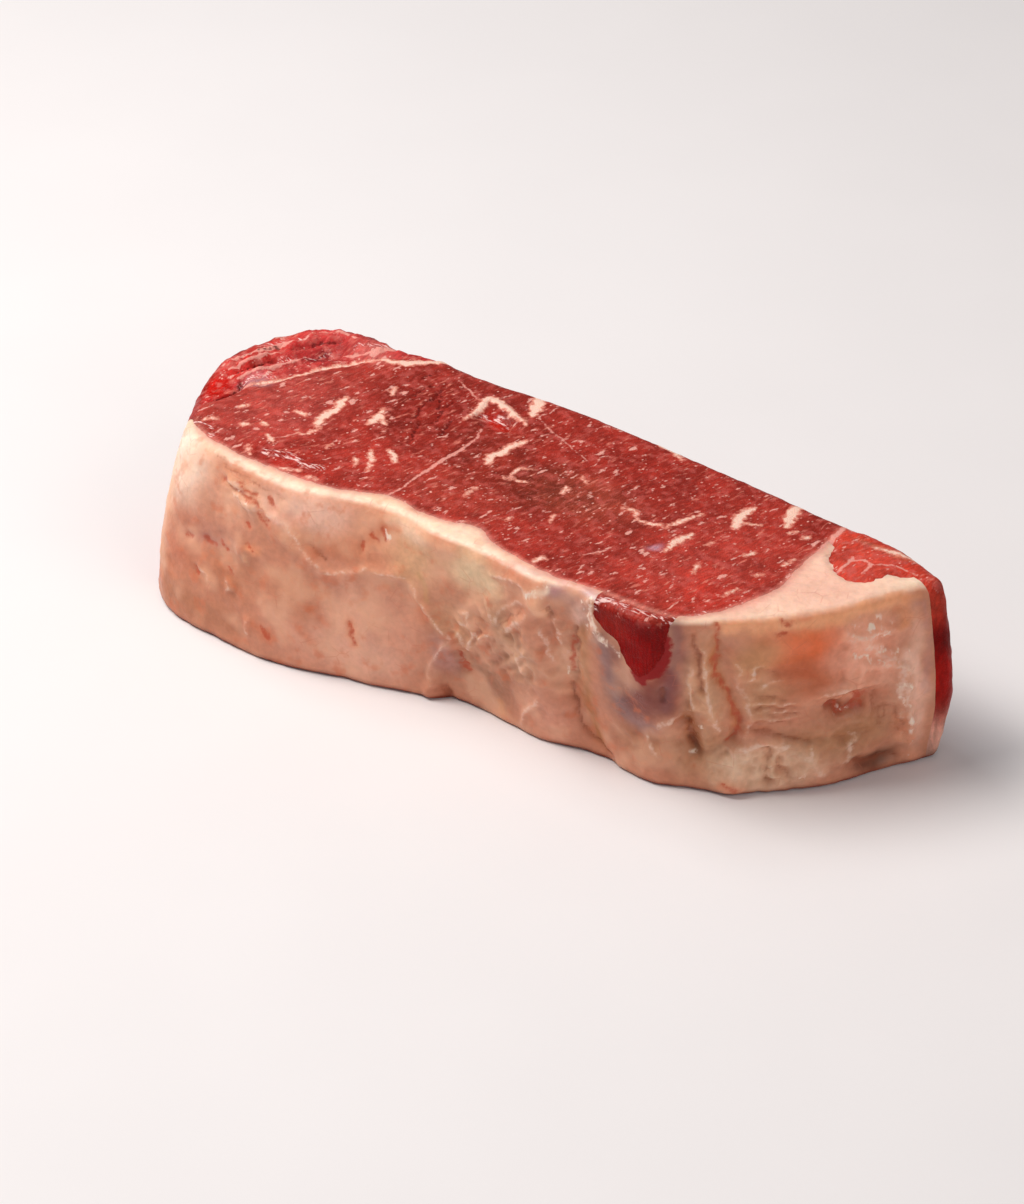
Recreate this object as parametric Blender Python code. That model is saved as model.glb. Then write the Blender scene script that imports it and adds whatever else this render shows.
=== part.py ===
"""A thick raw strip steak, lying on its lower cut face.

Shapes are worked out in millimetres and become metres in the meshes. +X runs along the
steak to its narrow tail, -Y faces the fat and +Z is up. The origin is the centre of the
box round the steak, on the surface that it lies on.

The steak starts as one block: an outline swept up through its thickness, with folds and
hollows pressed into its side. Upright seams part it into the eye muscle, the tail muscle,
the loose side muscle at the thick end, and the fat that wraps the near side.
"""

import math

import bmesh
import bpy
import numpy as np
from mathutils import Matrix, Vector, geometry

MM = 0.001

# Driving sizes, in millimetres
THICKNESS = 46.0
SEAM_GAP = 0.3
NEAR_SPACING = 3.1
FAR_SPACING = 5.2
ROW_SPACING = 3.3
TOP_SPACING = 4.8
BOTTOM_SPACING = 14.0
SEAM_SPACING = 3.2
SEAM_OVERRUN = 6.0
FOOT_RADIUS = 2.4
FOOT_STEPS = 2

# How finely curves are read and caps are filled
CURVE_STEPS = 24
FINE_SPACING = 0.5
VALUE_SAMPLES = 400
VALUE_BLUR = 15
EDGE_CLEARANCE = 0.55
FILL_INSIDE = 1
WELD = 1e-6

# The outline of the upper face, anticlockwise in plan, from the thick end's fat corner
FAT_RIM = (
    (-82.8, -23.6), (-78.8, -28.4), (-71.5, -32.2), (-60.0, -33.8), (-48.0, -34.6),
    (-38.0, -33.0), (-27.0, -29.1), (-16.0, -27.6), (-5.0, -29.9), (8.0, -29.4),
    (24.0, -30.8), (34.0, -28.4), (43.0, -29.2), (53.0, -29.2), (60.0, -25.0),
    (71.5, -14.5), (83.0, -0.5), (90.0, 12.6), (94.3, 20.6),
)
TAIL_END = ((95.6, 23.4), (92.8, 26.8), (82.0, 30.7), (72.0, 31.7), (66.4, 31.4))
FAR_SIDE = ((41.0, 33.1), (9.0, 34.8), (-15.0, 35.0), (-37.0, 33.5), (-47.0, 33.5), (-53.0, 34.3))
THICK_END = (
    (-58.0, 32.8), (-64.0, 31.4), (-75.0, 32.2), (-85.2, 29.4), (-93.2, 17.8),
    (-96.0, 6.0), (-92.0, -7.0), (-86.4, -17.0),
)

# Seams in plan, each run past the outline at both ends so that it parts the block
NEAR_SEAM = (
    (-97.0, -21.6), (-85.0, -21.9), (-79.5, -25.6), (-73.0, -28.7), (-66.0, -29.8), (-57.0, -30.4),
    (-45.0, -29.9), (-35.0, -28.4), (-28.0, -25.5), (-22.0, -23.2), (-14.0, -24.4),
    (-6.0, -23.7), (2.0, -21.4), (9.0, -24.4), (18.0, -26.0), (28.0, -26.9),
    (37.0, -25.8), (46.0, -25.2), (54.0, -25.0), (59.8, -22.6), (64.8, -15.4),
    (67.4, -8.0), (69.3, -1.0), (68.6, 6.0), (67.8, 13.0), (67.8, 19.0),
    (66.8, 26.0), (66.2, 44.0),
)
SIDE_SEAM = (
    (-53.0, 44.0), (-53.6, 33.0), (-56.0, 29.2), (-61.0, 25.4), (-66.0, 21.8),
    (-70.5, 16.0), (-75.2, 7.2), (-77.6, 0.0), (-81.5, -5.8), (-82.4, -11.4),
    (-85.4, -16.0), (-98.0, -16.5),
)
TAIL_SEAM = (
    (108.0, 18.5), (95.0, 20.9), (91.8, 21.9), (88.6, 20.6), (85.8, 18.0),
    (83.2, 14.2), (80.2, 11.8), (76.8, 12.4), (73.0, 14.8), (70.6, 18.2),
    (68.6, 22.0), (62.0, 25.0),
)
SEAM_HEIGHTS = (-SEAM_OVERRUN, 0.0, 9.0, 18.0, 27.0, 36.0, THICKNESS, THICKNESS + SEAM_OVERRUN)
TAIL_REGION_CORNERS = ((112.0, 18.5), (112.0, 50.0), (62.0, 50.0))
SIDE_REGION_CORNERS = ((-115.0, -19.0), (-40.0, -19.0), (-40.0, 50.0), (-115.0, 50.0))

# Where the fat was trimmed away, the eye muscle comes out to the near side: x and height
BARE_PATCH = (
    (40.2, 52.0), (40.0, 44.5), (39.6, 41.5), (42.6, 38.4), (46.0, 37.0), (47.4, 33.6),
    (49.4, 30.8), (52.0, 29.8), (54.6, 32.0), (57.0, 36.0), (57.9, 41.0), (58.2, 52.0),
)
BARE_PATCH_DEPTH = (-22.5, -44.0)
BARE_PATCH_SPACING = 2.0

# How far the lower part stands out from the rim (+) or draws in under it (-), along X
NEAR_FLARE = ((-97.0, 9.4), (-62.0, 7.0), (-40.0, 5.8), (-20.0, 6.2), (-12.0, 2.6), (-2.0, -4.2),
              (12.0, -3.6), (30.0, -4.2), (50.0, -4.6), (60.0, -3.2), (68.0, 0.6), (80.0, 3.4),
              (97.0, 3.2))
THICK_END_FLARE = 4.6
TAIL_END_FLARE = 3.6
FLARE_RATE = 2.0
FAR_FLARE_SHARE = 0.45
BELLY_RETURN = 0.35
BELLY_DEPTH = 0.6

# Where each flare starts and is full, and where the near side's own relief gives way
FLARE_Y = (28.0, -22.0)
THICK_END_X = (-55.0, -88.0)
TAIL_END_X = (68.0, 92.0)
NEAR_FACING = (0.15, -0.35)
NEAR_END_Y = (24.0, 14.0)
SIDE_MUSCLE_X = (-52.0, -64.0)
SIDE_MUSCLE_Y = (-20.0, -12.0)

# Folds, ridges and cuts on the near side: (points as x and height, half width, rise)
SIDE_LINES = (
    (((-63, 45), (-55, 40), (-47, 36), (-38, 30), (-30, 26), (-22, 30), (-14, 32)), 1.7, 0.7),
    (((-14, 32), (-8, 27), (-3, 20), (-2, 16), (-5, 8), (-7, 1)), 2.2, 0.9),
    (((27.4, 35), (28.5, 27), (31.5, 20), (33, 12), (36.6, 6), (41, 0)), 2.6, -1.6),
    (((22, 33), (24.5, 24), (27, 15), (30, 5)), 3.4, 1.2),
    (((61.2, 36), (60.8, 24), (62.2, 10)), 2.4, -1.3),
    (((63.8, 40), (64.2, 32), (64.8, 20)), 2.2, 0.7),
    (((66.2, 40), (67, 34), (69.4, 26), (70.4, 19), (67.6, 12)), 2.4, -1.1),
    (((72.8, 29), (80, 28)), 1.6, -0.5),
    (((72.8, 23), (81, 21.5)), 1.6, -0.5),
    (((46, 27), (50, 18), (56, 14)), 4.0, -0.9),
)
# Blobs, pits and tags: (x, height, half width, half height, rise)
SIDE_SPOTS = (
    (25.5, 39.0, 3.0, 3.4, 1.5), (85.0, 22.0, 2.6, 2.4, -1.7), (48.0, 38.0, 9.0, 8.0, -0.7),
    (-54.0, 27.0, 2.4, 3.0, 0.9), (-68.0, 24.0, 7.0, 5.0, -0.9), (-6.4, 2.4, 2.6, 2.6, 1.5),
    (69.5, 2.4, 2.8, 2.6, 1.4), (90.5, 4.0, 4.0, 3.6, -1.4), (8.0, 28.0, 9.0, 8.0, 1.0),
    (-30.0, 14.0, 16.0, 9.0, 0.8), (78.0, 36.0, 7.0, 6.0, 0.8), (92.0, 34.0, 2.0, 9.0, -0.5),
)
# The far side and the thick end swell a little and ripple; relief fades out at the rim
FAR_BARREL = 1.6
FAR_RIPPLE = 0.5
RIPPLE_LENGTH = 4.6
RIM_FADE = 3.0

# Swells and hollows of the upper face: (x, y, half length, half width, rise)
TOP_SPOTS = (
    (-87.0, -9.0, 4.5, 6.0, -2.6), (-76.0, 20.0, 7.0, 5.0, -1.4), (-88.0, 12.0, 4.0, 7.0, -1.2),
    (-68.0, 27.0, 12.0, 5.0, 1.6), (-23.0, 17.5, 5.5, 2.8, -1.1), (-55.0, -22.0, 14.0, 5.0, 0.8),
    (-5.0, 0.0, 30.0, 12.0, -0.7), (35.0, 5.0, 24.0, 12.0, 0.6), (82.0, 20.0, 6.0, 5.0, 0.7),
    (-38.0, 8.0, 8.0, 6.0, -0.6),
)
TOP_SWELL = 0.25
TOP_SWELL_LENGTH = 10.0
TOP_RELIEF_DEPTH = 9.0
SEAM_GROOVE = 0.55
SEAM_GROOVE_WIDTH = 1.1

# How far the rim is rounded over, along X, on the near side, and all round the rest
NEAR_ROUNDING = ((-97.0, 4.2), (-60.0, 3.0), (-20.0, 2.6), (0.0, 3.8), (30.0, 3.0), (40.0, 1.6),
                 (60.0, 1.4), (80.0, 1.8), (97.0, 2.0))
FAR_ROUNDING = 3.4
SIDE_MUSCLE_ROUNDING = 5.2
ROUNDING_STEPS = 4
SHARP_ANGLE = math.radians(75)

LEAN_COLOUR = (0.37, 0.035, 0.028)
TAIL_COLOUR = (0.42, 0.035, 0.030)
SIDE_COLOUR = (0.33, 0.030, 0.034)
FAT_COLOUR = (0.76, 0.47, 0.34)
LEAN_ROUGHNESS = 0.40
FAT_ROUGHNESS = 0.45


def evenly_spaced(path, spacing, closed=False):
    """Points at an even spacing along straight stretches. A closed path ends where it starts."""
    travelled = np.concatenate([[0], np.cumsum(np.linalg.norm(np.diff(path, axis=0), axis=1))])
    steps = max(3, round(travelled[-1] / spacing))
    wanted = np.linspace(0, travelled[-1], steps + 1)[:steps if closed else None]
    return np.stack([np.interp(wanted, travelled, path[:, axis]) for axis in (0, 1)], axis=1)


def smooth_path(points, spacing, closed=False):
    """Points at an even spacing along a rounded curve through the given ones."""
    points = np.array(points, float)
    count = len(points)
    samples = []
    for index in range(count if closed else count - 1):
        if closed:
            before, start, end, after = (points[(index + step) % count] for step in (-1, 0, 1, 2))
        else:
            start, end = points[index], points[index + 1]
            before = points[index - 1] if index else 2 * start - end
            after = points[index + 2] if index + 2 < count else 2 * end - start
        for t in np.linspace(0, 1, CURVE_STEPS, endpoint=False):
            samples.append(0.5 * (2 * start + (end - before) * t
                                  + (2 * before - 5 * start + 4 * end - after) * t ** 2
                                  + (3 * start - before - 3 * end + after) * t ** 3))
    samples.append(points[0] if closed else points[-1])
    return evenly_spaced(np.array(samples), spacing, closed)


def smooth_values(knots, x):
    """A rounded curve through (x, value) knots, read at x."""
    places, values = np.array(knots).T
    fine = np.linspace(places[0], places[-1], VALUE_SAMPLES)
    straight = np.interp(fine, places, values)
    kernel = np.hanning(2 * VALUE_BLUR + 1)
    rounded = np.convolve(np.pad(straight, VALUE_BLUR, mode="edge"), kernel / kernel.sum(), "valid")
    return np.interp(x, fine, rounded)


def smooth_step(low, high, value):
    t = np.clip((value - low) / (high - low), 0, 1)
    return t * t * (3 - 2 * t)


def distance_to_line(line, points):
    """How far each 2-D point lies from a line of straight stretches."""
    line = np.array(line, float)
    nearest = np.full(len(points), np.inf)
    for start, end in zip(line[:-1], line[1:]):
        along = end - start
        t = np.clip((points - start) @ along / (along @ along), 0, 1)
        nearest = np.minimum(nearest, np.linalg.norm(points - start - t[:, None] * along, axis=1))
    return nearest


def outline():
    """The upper face's outline, with closer points on the near side."""
    fine = smooth_path(FAT_RIM + TAIL_END + FAR_SIDE + THICK_END, FINE_SPACING, closed=True)
    tail = np.argmin(np.linalg.norm(fine - TAIL_END[-1], axis=1))
    near = evenly_spaced(fine[:tail + 1], NEAR_SPACING)
    far = evenly_spaced(np.vstack([fine[tail:], fine[:1]]), FAR_SPACING)
    return np.vstack([near[:-1], far[:-1]])


def plan_normals(loop):
    """Outward normals of an anticlockwise loop in plan."""
    along = np.roll(loop, -1, axis=0) - np.roll(loop, 1, axis=0)
    normals = np.stack([along[:, 1], -along[:, 0]], axis=1)
    return normals / np.linalg.norm(normals, axis=1)[:, None]


def near_share(points, normals):
    """1 on the near side and the fat's end of the outline, 0 on the rest."""
    return smooth_step(*NEAR_FACING, normals[:, 1]) * smooth_step(*NEAR_END_Y, points[:, 1])


def rim_rounding(points, normals):
    near = near_share(points, normals)
    side_muscle = smooth_step(*SIDE_MUSCLE_X, points[:, 0]) * smooth_step(*SIDE_MUSCLE_Y, points[:, 1])
    far = FAR_ROUNDING + side_muscle * (SIDE_MUSCLE_ROUNDING - FAR_ROUNDING)
    return near * smooth_values(NEAR_ROUNDING, points[:, 0]) + (1 - near) * far


def side_relief(points, normals, height):
    """How far the side stands out from the plain sweep, at one height."""
    x, y = points.T
    place = np.stack([x, np.full(len(x), height)], axis=1)
    rise = np.zeros(len(x))
    for line, width, lift in SIDE_LINES:
        rise += lift * np.exp(-(distance_to_line(line, place) / width) ** 2)
    for spot_x, spot_z, half_x, half_z, lift in SIDE_SPOTS:
        rise += lift * np.exp(-((x - spot_x) / half_x) ** 2 - ((height - spot_z) / half_z) ** 2)
    near = near_share(points, normals)
    up = height / THICKNESS
    barrel = FAR_BARREL * math.sin(math.pi * up)
    ripple = FAR_RIPPLE * np.sin(x / RIPPLE_LENGTH + 2 * up) * np.sin(y / RIPPLE_LENGTH + 5 * up)
    fade = min(1.0, (THICKNESS - height) / RIM_FADE)
    return fade * (near * rise + (1 - near) * (barrel + ripple))


def top_relief(points):
    """How far the upper face stands above its mean height."""
    x, y = points.T
    rise = TOP_SWELL * np.sin(x / TOP_SWELL_LENGTH) * np.sin(y / TOP_SWELL_LENGTH)
    for spot_x, spot_y, half_x, half_y, lift in TOP_SPOTS:
        rise += lift * np.exp(-((x - spot_x) / half_x) ** 2 - ((y - spot_y) / half_y) ** 2)
    for seam in (SIDE_SEAM, TAIL_SEAM):
        away = distance_to_line(smooth_path(seam, SEAM_SPACING), points)
        rise -= SEAM_GROOVE * np.exp(-(away / SEAM_GROOVE_WIDTH) ** 2)
    return rise


def flared(points):
    """The plain sweep bent to the steak's true sides: the lower part stands out or draws in."""
    x, y, z = points.T
    depth = np.clip(1 - z / THICKNESS, 0, 1)
    quick = 1 - (1 - depth) ** FLARE_RATE
    slow = smooth_step(0, 1, depth)
    flare = smooth_values(NEAR_FLARE, x)
    outward = np.where(flare > 0, flare * quick, flare * slow)
    near = smooth_step(*FLARE_Y, y)
    thick_end = smooth_step(*THICK_END_X, x) * (FAR_FLARE_SHARE + (1 - FAR_FLARE_SHARE) * near)
    tail_end = smooth_step(*TAIL_END_X, x)
    belly = quick - BELLY_RETURN * smooth_step(BELLY_DEPTH, 1.0, depth)
    return np.stack([x - THICK_END_FLARE * thick_end * quick + TAIL_END_FLARE * tail_end * belly,
                     y - outward * near, z], axis=1)


def inside(loop, points):
    """Whether each 2-D point lies inside a closed loop."""
    found = np.zeros(len(points), bool)
    x, y = points.T
    for (ax, ay), (bx, by) in zip(loop, np.roll(loop, -1, axis=0)):
        crosses = (ay > y) != (by > y)
        rise = by - ay if by != ay else 1.0
        found ^= crosses & (x < ax + (y - ay) * (bx - ax) / rise)
    return found


def scattered_inside(loop, spacing):
    """Points in staggered rows inside a loop, clear of its edge."""
    low, high = loop.min(axis=0), loop.max(axis=0)
    rows = np.arange(low[1], high[1], spacing * math.sqrt(3) / 2)
    columns = np.arange(low[0], high[0], spacing)
    grid = np.array([(column + spacing / 2 * (row_index % 2), row)
                     for row_index, row in enumerate(rows) for column in columns])
    grid = grid[inside(loop, grid)]
    closed = np.vstack([loop, loop[:1]])
    return grid[distance_to_line(closed, grid) > EDGE_CLEARANCE * spacing]


def cap_faces(loop, extra):
    """Triangles that fill a loop through the extra points, anticlockwise, numbered loop first."""
    points = [Vector(point) for point in np.vstack([loop, extra])]
    edges = [(index, (index + 1) % len(loop)) for index in range(len(loop))]
    _, _, faces, _, _, _ = geometry.delaunay_2d_cdt(points, edges, [], FILL_INSIDE, WELD)
    turned = []
    for face in faces:
        a, b, c = (points[index] for index in face)
        anticlockwise = (b - a).cross(c - a) > 0
        turned.append(tuple(face) if anticlockwise else tuple(reversed(face)))
    return turned


def ring_faces(rings, count):
    """Quads between rings of count points each, numbered ring by ring from the bottom."""
    return [(ring * count + index, ring * count + (index + 1) % count,
             (ring + 1) * count + (index + 1) % count, (ring + 1) * count + index)
            for ring in range(rings - 1) for index in range(count)]


def new_mesh(name, points, faces):
    mesh = bpy.data.meshes.new(name)
    mesh.from_pydata((points * MM).tolist(), [], faces)
    builder = bmesh.new()
    builder.from_mesh(mesh)
    bmesh.ops.recalc_face_normals(builder, faces=builder.faces)
    builder.to_mesh(mesh)
    builder.free()
    return mesh


def block_rings(loop):
    """The block's rings from its foot to its rim, as (loop, height above the mean face)."""
    normals = plan_normals(loop)
    rounding = rim_rounding(loop, normals)
    rings = []
    for turn in np.linspace(0, math.pi / 2, FOOT_STEPS + 1):
        rings.append((FOOT_RADIUS * (1 - math.sin(turn)), FOOT_RADIUS * (1 - math.cos(turn))))
    straight = np.arange(FOOT_RADIUS + ROW_SPACING, THICKNESS - SIDE_MUSCLE_ROUNDING, ROW_SPACING)
    rings += [(0.0, height) for height in straight]
    made = []
    for inset, height in rings:
        pushed = side_relief(loop, normals, height) - inset
        made.append((loop + normals * pushed[:, None], np.full(len(loop), height)))
    for step in range(ROUNDING_STEPS + 1):
        turn = step / ROUNDING_STEPS * math.pi / 2
        height = THICKNESS - rounding * (1 - math.sin(turn))
        pushed = side_relief(loop, normals, float(height.mean())) - rounding * (1 - math.cos(turn))
        made.append((loop + normals * pushed[:, None], height))
    return made


def block_mesh():
    """The whole steak as one closed mesh, before it is parted."""
    loop = outline()
    rings = block_rings(loop)
    count = len(loop)
    points = []
    for plan, height in rings:
        share = smooth_step(THICKNESS - TOP_RELIEF_DEPTH, THICKNESS, height)
        points.append(np.column_stack([plan, height + share * top_relief(plan)]))
    top_loop, bottom_loop = rings[-1][0], rings[0][0]
    top_extra = scattered_inside(top_loop, TOP_SPACING)
    bottom_extra = scattered_inside(bottom_loop, BOTTOM_SPACING)
    points.append(np.column_stack([top_extra, THICKNESS + top_relief(top_extra)]))
    points.append(np.column_stack([bottom_extra, np.zeros(len(bottom_extra))]))

    faces = ring_faces(len(rings), count)
    top_first = (len(rings) - 1) * count
    faces += [tuple(top_first + index for index in face) for face in cap_faces(top_loop, top_extra)]
    bottom_extra_first = top_first + count + len(top_extra)
    for face in cap_faces(bottom_loop, bottom_extra):
        numbers = [index if index < count else bottom_extra_first + index - count for index in face]
        faces.append(tuple(reversed(numbers)))
    return new_mesh("steak_block", flared(np.vstack(points)), faces)


def region_mesh(name, loop, grow=0.0):
    """An upright cutter over a loop in plan, grown outwards."""
    loop = loop + grow * plan_normals(loop)
    points = [np.column_stack([loop, np.full(len(loop), height)]) for height in SEAM_HEIGHTS]
    return prism_mesh(name, points)


def bare_patch_mesh(name, grow=0.0):
    """A cutter through the near side over the bare patch, grown outwards."""
    loop = smooth_path(BARE_PATCH, BARE_PATCH_SPACING, closed=True)
    loop = loop + grow * plan_normals(loop)
    points = [np.column_stack([loop[:, 0], np.full(len(loop), y), loop[:, 1]]) for y in BARE_PATCH_DEPTH]
    return prism_mesh(name, points)


def prism_mesh(name, rings):
    """A closed mesh through rings of points, bent with the steak's sides."""
    count = len(rings[0])
    quads = ring_faces(len(rings), count)
    faces = [half for a, b, c, d in quads for half in ((a, b, c), (a, c, d))]
    faces.append(tuple(reversed(range(count))))
    faces.append(tuple((len(rings) - 1) * count + index for index in range(count)))
    return new_mesh(name, flared(np.vstack(rings)), faces)


def eye_region():
    return np.vstack([smooth_path(NEAR_SEAM, SEAM_SPACING), smooth_path(SIDE_SEAM, SEAM_SPACING)])


def tail_region():
    seam = smooth_path(TAIL_SEAM, SEAM_SPACING)[::-1]
    return np.vstack([seam, TAIL_REGION_CORNERS])


def material(name, colour, roughness):
    made = bpy.data.materials.new(name)
    made.use_nodes = True
    shader = made.node_tree.nodes["Principled BSDF"]
    shader.inputs["Base Color"].default_value = (*colour, 1.0)
    shader.inputs["Roughness"].default_value = roughness
    shader.inputs["Metallic"].default_value = 0.0
    made.diffuse_color = (*colour, 1.0)
    return made


def add_object(name, mesh):
    made = bpy.data.objects.new(name, mesh)
    bpy.context.scene.collection.objects.link(made)
    return made


def add_cutter(mesh):
    made = add_object(mesh.name, mesh)
    made.hide_render = True
    made.display_type = "WIRE"
    return made


def cut(piece, operation, cutter):
    modifier = piece.modifiers.new(operation.lower() + "_" + cutter.name, "BOOLEAN")
    modifier.operation = operation
    modifier.object = cutter
    modifier.solver = "EXACT"


def add_piece(name, block, colour, roughness):
    mesh = block.copy()
    mesh.name = name
    mesh.materials.append(material(name, colour, roughness))
    mesh.shade_smooth()
    mesh.set_sharp_from_angle(angle=SHARP_ANGLE)
    return add_object(name, mesh)


def centre_on_origin(meshes, block):
    """Moves the meshes so that the box round the block stands on the origin."""
    points = np.array([vertex.co for vertex in block.vertices])
    middle = (points.min(axis=0) + points.max(axis=0)) / 2
    for mesh in meshes:
        mesh.transform(Matrix.Translation((-middle[0], -middle[1], 0)))


def main():
    for old in list(bpy.data.objects):
        bpy.data.objects.remove(old)

    block = block_mesh()
    cutters = {
        "eye": region_mesh("eye_cutter", eye_region()),
        "eye_clearance": region_mesh("eye_clearance", eye_region(), SEAM_GAP),
        "patch": bare_patch_mesh("patch_cutter"),
        "patch_clearance": bare_patch_mesh("patch_clearance", SEAM_GAP),
        "tail": region_mesh("tail_cutter", tail_region()),
        "tail_clearance": region_mesh("tail_clearance", tail_region(), SEAM_GAP),
        "side": region_mesh("side_cutter", np.array(SIDE_REGION_CORNERS)),
    }
    centre_on_origin((block, *cutters.values()), block)
    cutters = {name: add_cutter(mesh) for name, mesh in cutters.items()}
    cut(cutters["eye"], "UNION", cutters["patch"])

    eye_muscle = add_piece("eye_muscle", block, LEAN_COLOUR, LEAN_ROUGHNESS)
    cut(eye_muscle, "INTERSECT", cutters["eye"])
    tail_muscle = add_piece("tail_muscle", block, TAIL_COLOUR, LEAN_ROUGHNESS)
    cut(tail_muscle, "INTERSECT", cutters["tail"])
    cut(tail_muscle, "DIFFERENCE", cutters["eye_clearance"])
    side_muscle = add_piece("side_muscle", block, SIDE_COLOUR, LEAN_ROUGHNESS)
    cut(side_muscle, "INTERSECT", cutters["side"])
    cut(side_muscle, "DIFFERENCE", cutters["eye_clearance"])
    fat_cap = add_piece("fat_cap", block, FAT_COLOUR, FAT_ROUGHNESS)
    for name in ("side", "tail_clearance", "eye_clearance", "patch_clearance"):
        cut(fat_cap, "DIFFERENCE", cutters[name])


main()
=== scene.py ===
"""The looks of a thick raw strip steak: its surfaces, floor, light and camera.

Shapes are worked out in millimetres in the outline's own coordinates: x along the steak,
y across it, z up from the floor. A plain block is parted by upright seams, and then every
point is moved by the same relief and the same bend, so that the pieces stay flush.
"""

import math

import bmesh
import bpy
import numpy as np
from mathutils import Matrix, Vector, geometry, kdtree, noise


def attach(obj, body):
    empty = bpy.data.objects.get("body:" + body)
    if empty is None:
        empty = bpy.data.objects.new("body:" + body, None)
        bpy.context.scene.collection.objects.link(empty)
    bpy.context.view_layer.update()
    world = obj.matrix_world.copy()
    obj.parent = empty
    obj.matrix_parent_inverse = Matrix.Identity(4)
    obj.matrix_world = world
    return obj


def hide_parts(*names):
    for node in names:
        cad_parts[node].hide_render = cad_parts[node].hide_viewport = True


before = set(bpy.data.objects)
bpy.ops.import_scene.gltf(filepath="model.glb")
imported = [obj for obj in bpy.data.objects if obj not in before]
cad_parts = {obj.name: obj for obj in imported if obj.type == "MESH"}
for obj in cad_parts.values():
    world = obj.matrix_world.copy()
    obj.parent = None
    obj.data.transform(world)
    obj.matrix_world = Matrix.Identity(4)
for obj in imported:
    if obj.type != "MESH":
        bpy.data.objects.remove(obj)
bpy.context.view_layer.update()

MM = 0.001

# The steak's size and the middle of its box, in the outline's coordinates
THICKNESS = 46.0
MIDDLE = (-0.03, -1.97)

# How closely the surfaces are sampled
NEAR_SPACING = 0.52
FAR_SPACING = 0.9
ROW_SPACING = 0.55
TOP_SPACING = 0.52
BOTTOM_SPACING = 7.0
SEAM_SPACING = 0.7
CUTTER_ROW_SPACING = 4.0
SEAM_OVERRUN = 6.0
CURVE_STEPS = 24
FINE_SPACING = 0.25
VALUE_SAMPLES = 400
VALUE_BLUR = 15
EDGE_CLEARANCE = 0.55
CORNER_REACH = 5
CORNER_SHARE = 0.75
LEAST_TURN = 0.01
SAME_POINT = 1e-6

# The outline of the upper face, anticlockwise in plan, from the thick end's fat corner
FAT_RIM = (
    (-82.8, -23.6), (-78.8, -28.4), (-71.5, -32.2), (-60.0, -33.8), (-48.0, -34.6),
    (-38.0, -33.0), (-27.0, -29.1), (-16.0, -27.6), (-5.0, -29.9), (8.0, -29.4),
    (24.0, -30.8), (34.0, -28.4), (43.0, -29.2), (53.0, -29.2), (60.0, -25.0),
    (71.5, -14.5), (83.0, -0.5), (90.0, 12.6), (94.3, 20.6),
)
TAIL_END = ((95.6, 23.4), (92.8, 26.8), (82.0, 30.7), (72.0, 31.7), (66.4, 31.4))
FAR_SIDE = ((41.0, 33.1), (9.0, 34.8), (-15.0, 35.0), (-37.0, 33.5), (-47.0, 33.5), (-53.0, 34.3))
THICK_END = (
    (-58.0, 32.8), (-64.0, 31.4), (-75.0, 32.2), (-85.2, 29.4), (-93.2, 17.8),
    (-96.0, 6.0), (-92.0, -7.0), (-86.4, -17.0),
)

# Seams in plan, each run past the outline at both ends so that it parts the block
NEAR_SEAM = (
    (-97.0, -21.6), (-85.0, -21.9), (-79.5, -25.6), (-73.0, -28.7), (-66.0, -29.8), (-57.0, -30.4),
    (-45.0, -29.9), (-35.0, -28.4), (-28.0, -25.5), (-22.0, -23.2), (-14.0, -24.4),
    (-6.0, -23.7), (2.0, -21.4), (9.0, -24.4), (18.0, -26.0), (28.0, -26.9),
    (37.0, -25.8), (46.0, -25.2), (54.0, -25.0), (59.8, -22.6), (64.8, -15.4),
    (67.4, -8.0), (69.3, -1.0), (68.6, 6.0), (67.8, 13.0), (67.8, 19.0),
    (66.8, 26.0), (66.2, 44.0),
)
SIDE_SEAM = (
    (-53.0, 44.0), (-53.6, 33.0), (-56.0, 29.2), (-61.0, 25.4), (-66.0, 21.8),
    (-70.5, 16.0), (-75.2, 7.2), (-77.6, 0.0), (-81.5, -5.8), (-82.4, -11.4),
    (-85.4, -16.0), (-98.0, -16.5),
)
TAIL_SEAM = (
    (108.0, 18.5), (95.0, 20.9), (91.8, 21.9), (88.6, 20.6), (85.8, 18.0),
    (83.2, 14.2), (80.2, 11.8), (76.8, 12.4), (73.0, 14.8), (70.6, 18.2),
    (68.6, 22.0), (62.0, 25.0),
)
TAIL_REGION_CORNERS = ((112.0, 18.5), (112.0, 50.0), (62.0, 50.0))
SIDE_REGION_CORNERS = ((-115.0, -19.0), (-40.0, -19.0), (-40.0, 50.0), (-115.0, 50.0))
SEAM_WOBBLE = 0.35
TAIL_WOBBLE = 0.9
# (length, share) of the waves in a seam, whose seeds are 1 and 2
SEAM_WAVES = ((3.1, 1.0), (1.1, 0.6))
PATCH_WAVE_LENGTH = 1.3

# Each use of noise has its own seed, and a seed moves the noise by this step
SEED_STEP = (13.7, 5.1, 7.9)
PATCH_SEED = 3
FAT_LUMP_SEED = 4
LEAN_SIDE_SEED = 5
LEAN_TOP_SEED = 6
TINT_WAVER_SEEDS = (7, 8)
MARK_WAVER_SEEDS = (9, 10)
SIDE_MUSCLE_SEED = 11
WIDTH_WAVER_SEED = 12
WRINKLE_SHIFT_SEEDS = (13, 14, 15)
WRINKLE_SEED = 16

# Where the fat was trimmed away, the eye muscle comes out to the near side: x and height
BARE_PATCH = (
    (40.2, 52.0), (40.0, 44.5), (39.6, 41.5), (42.6, 38.4), (46.0, 37.0), (47.4, 33.6),
    (49.4, 30.8), (52.0, 29.8), (54.6, 32.0), (57.0, 36.0), (57.9, 41.0), (58.2, 52.0),
)
BARE_PATCH_DEPTH = (-22.5, -44.0)

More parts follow.
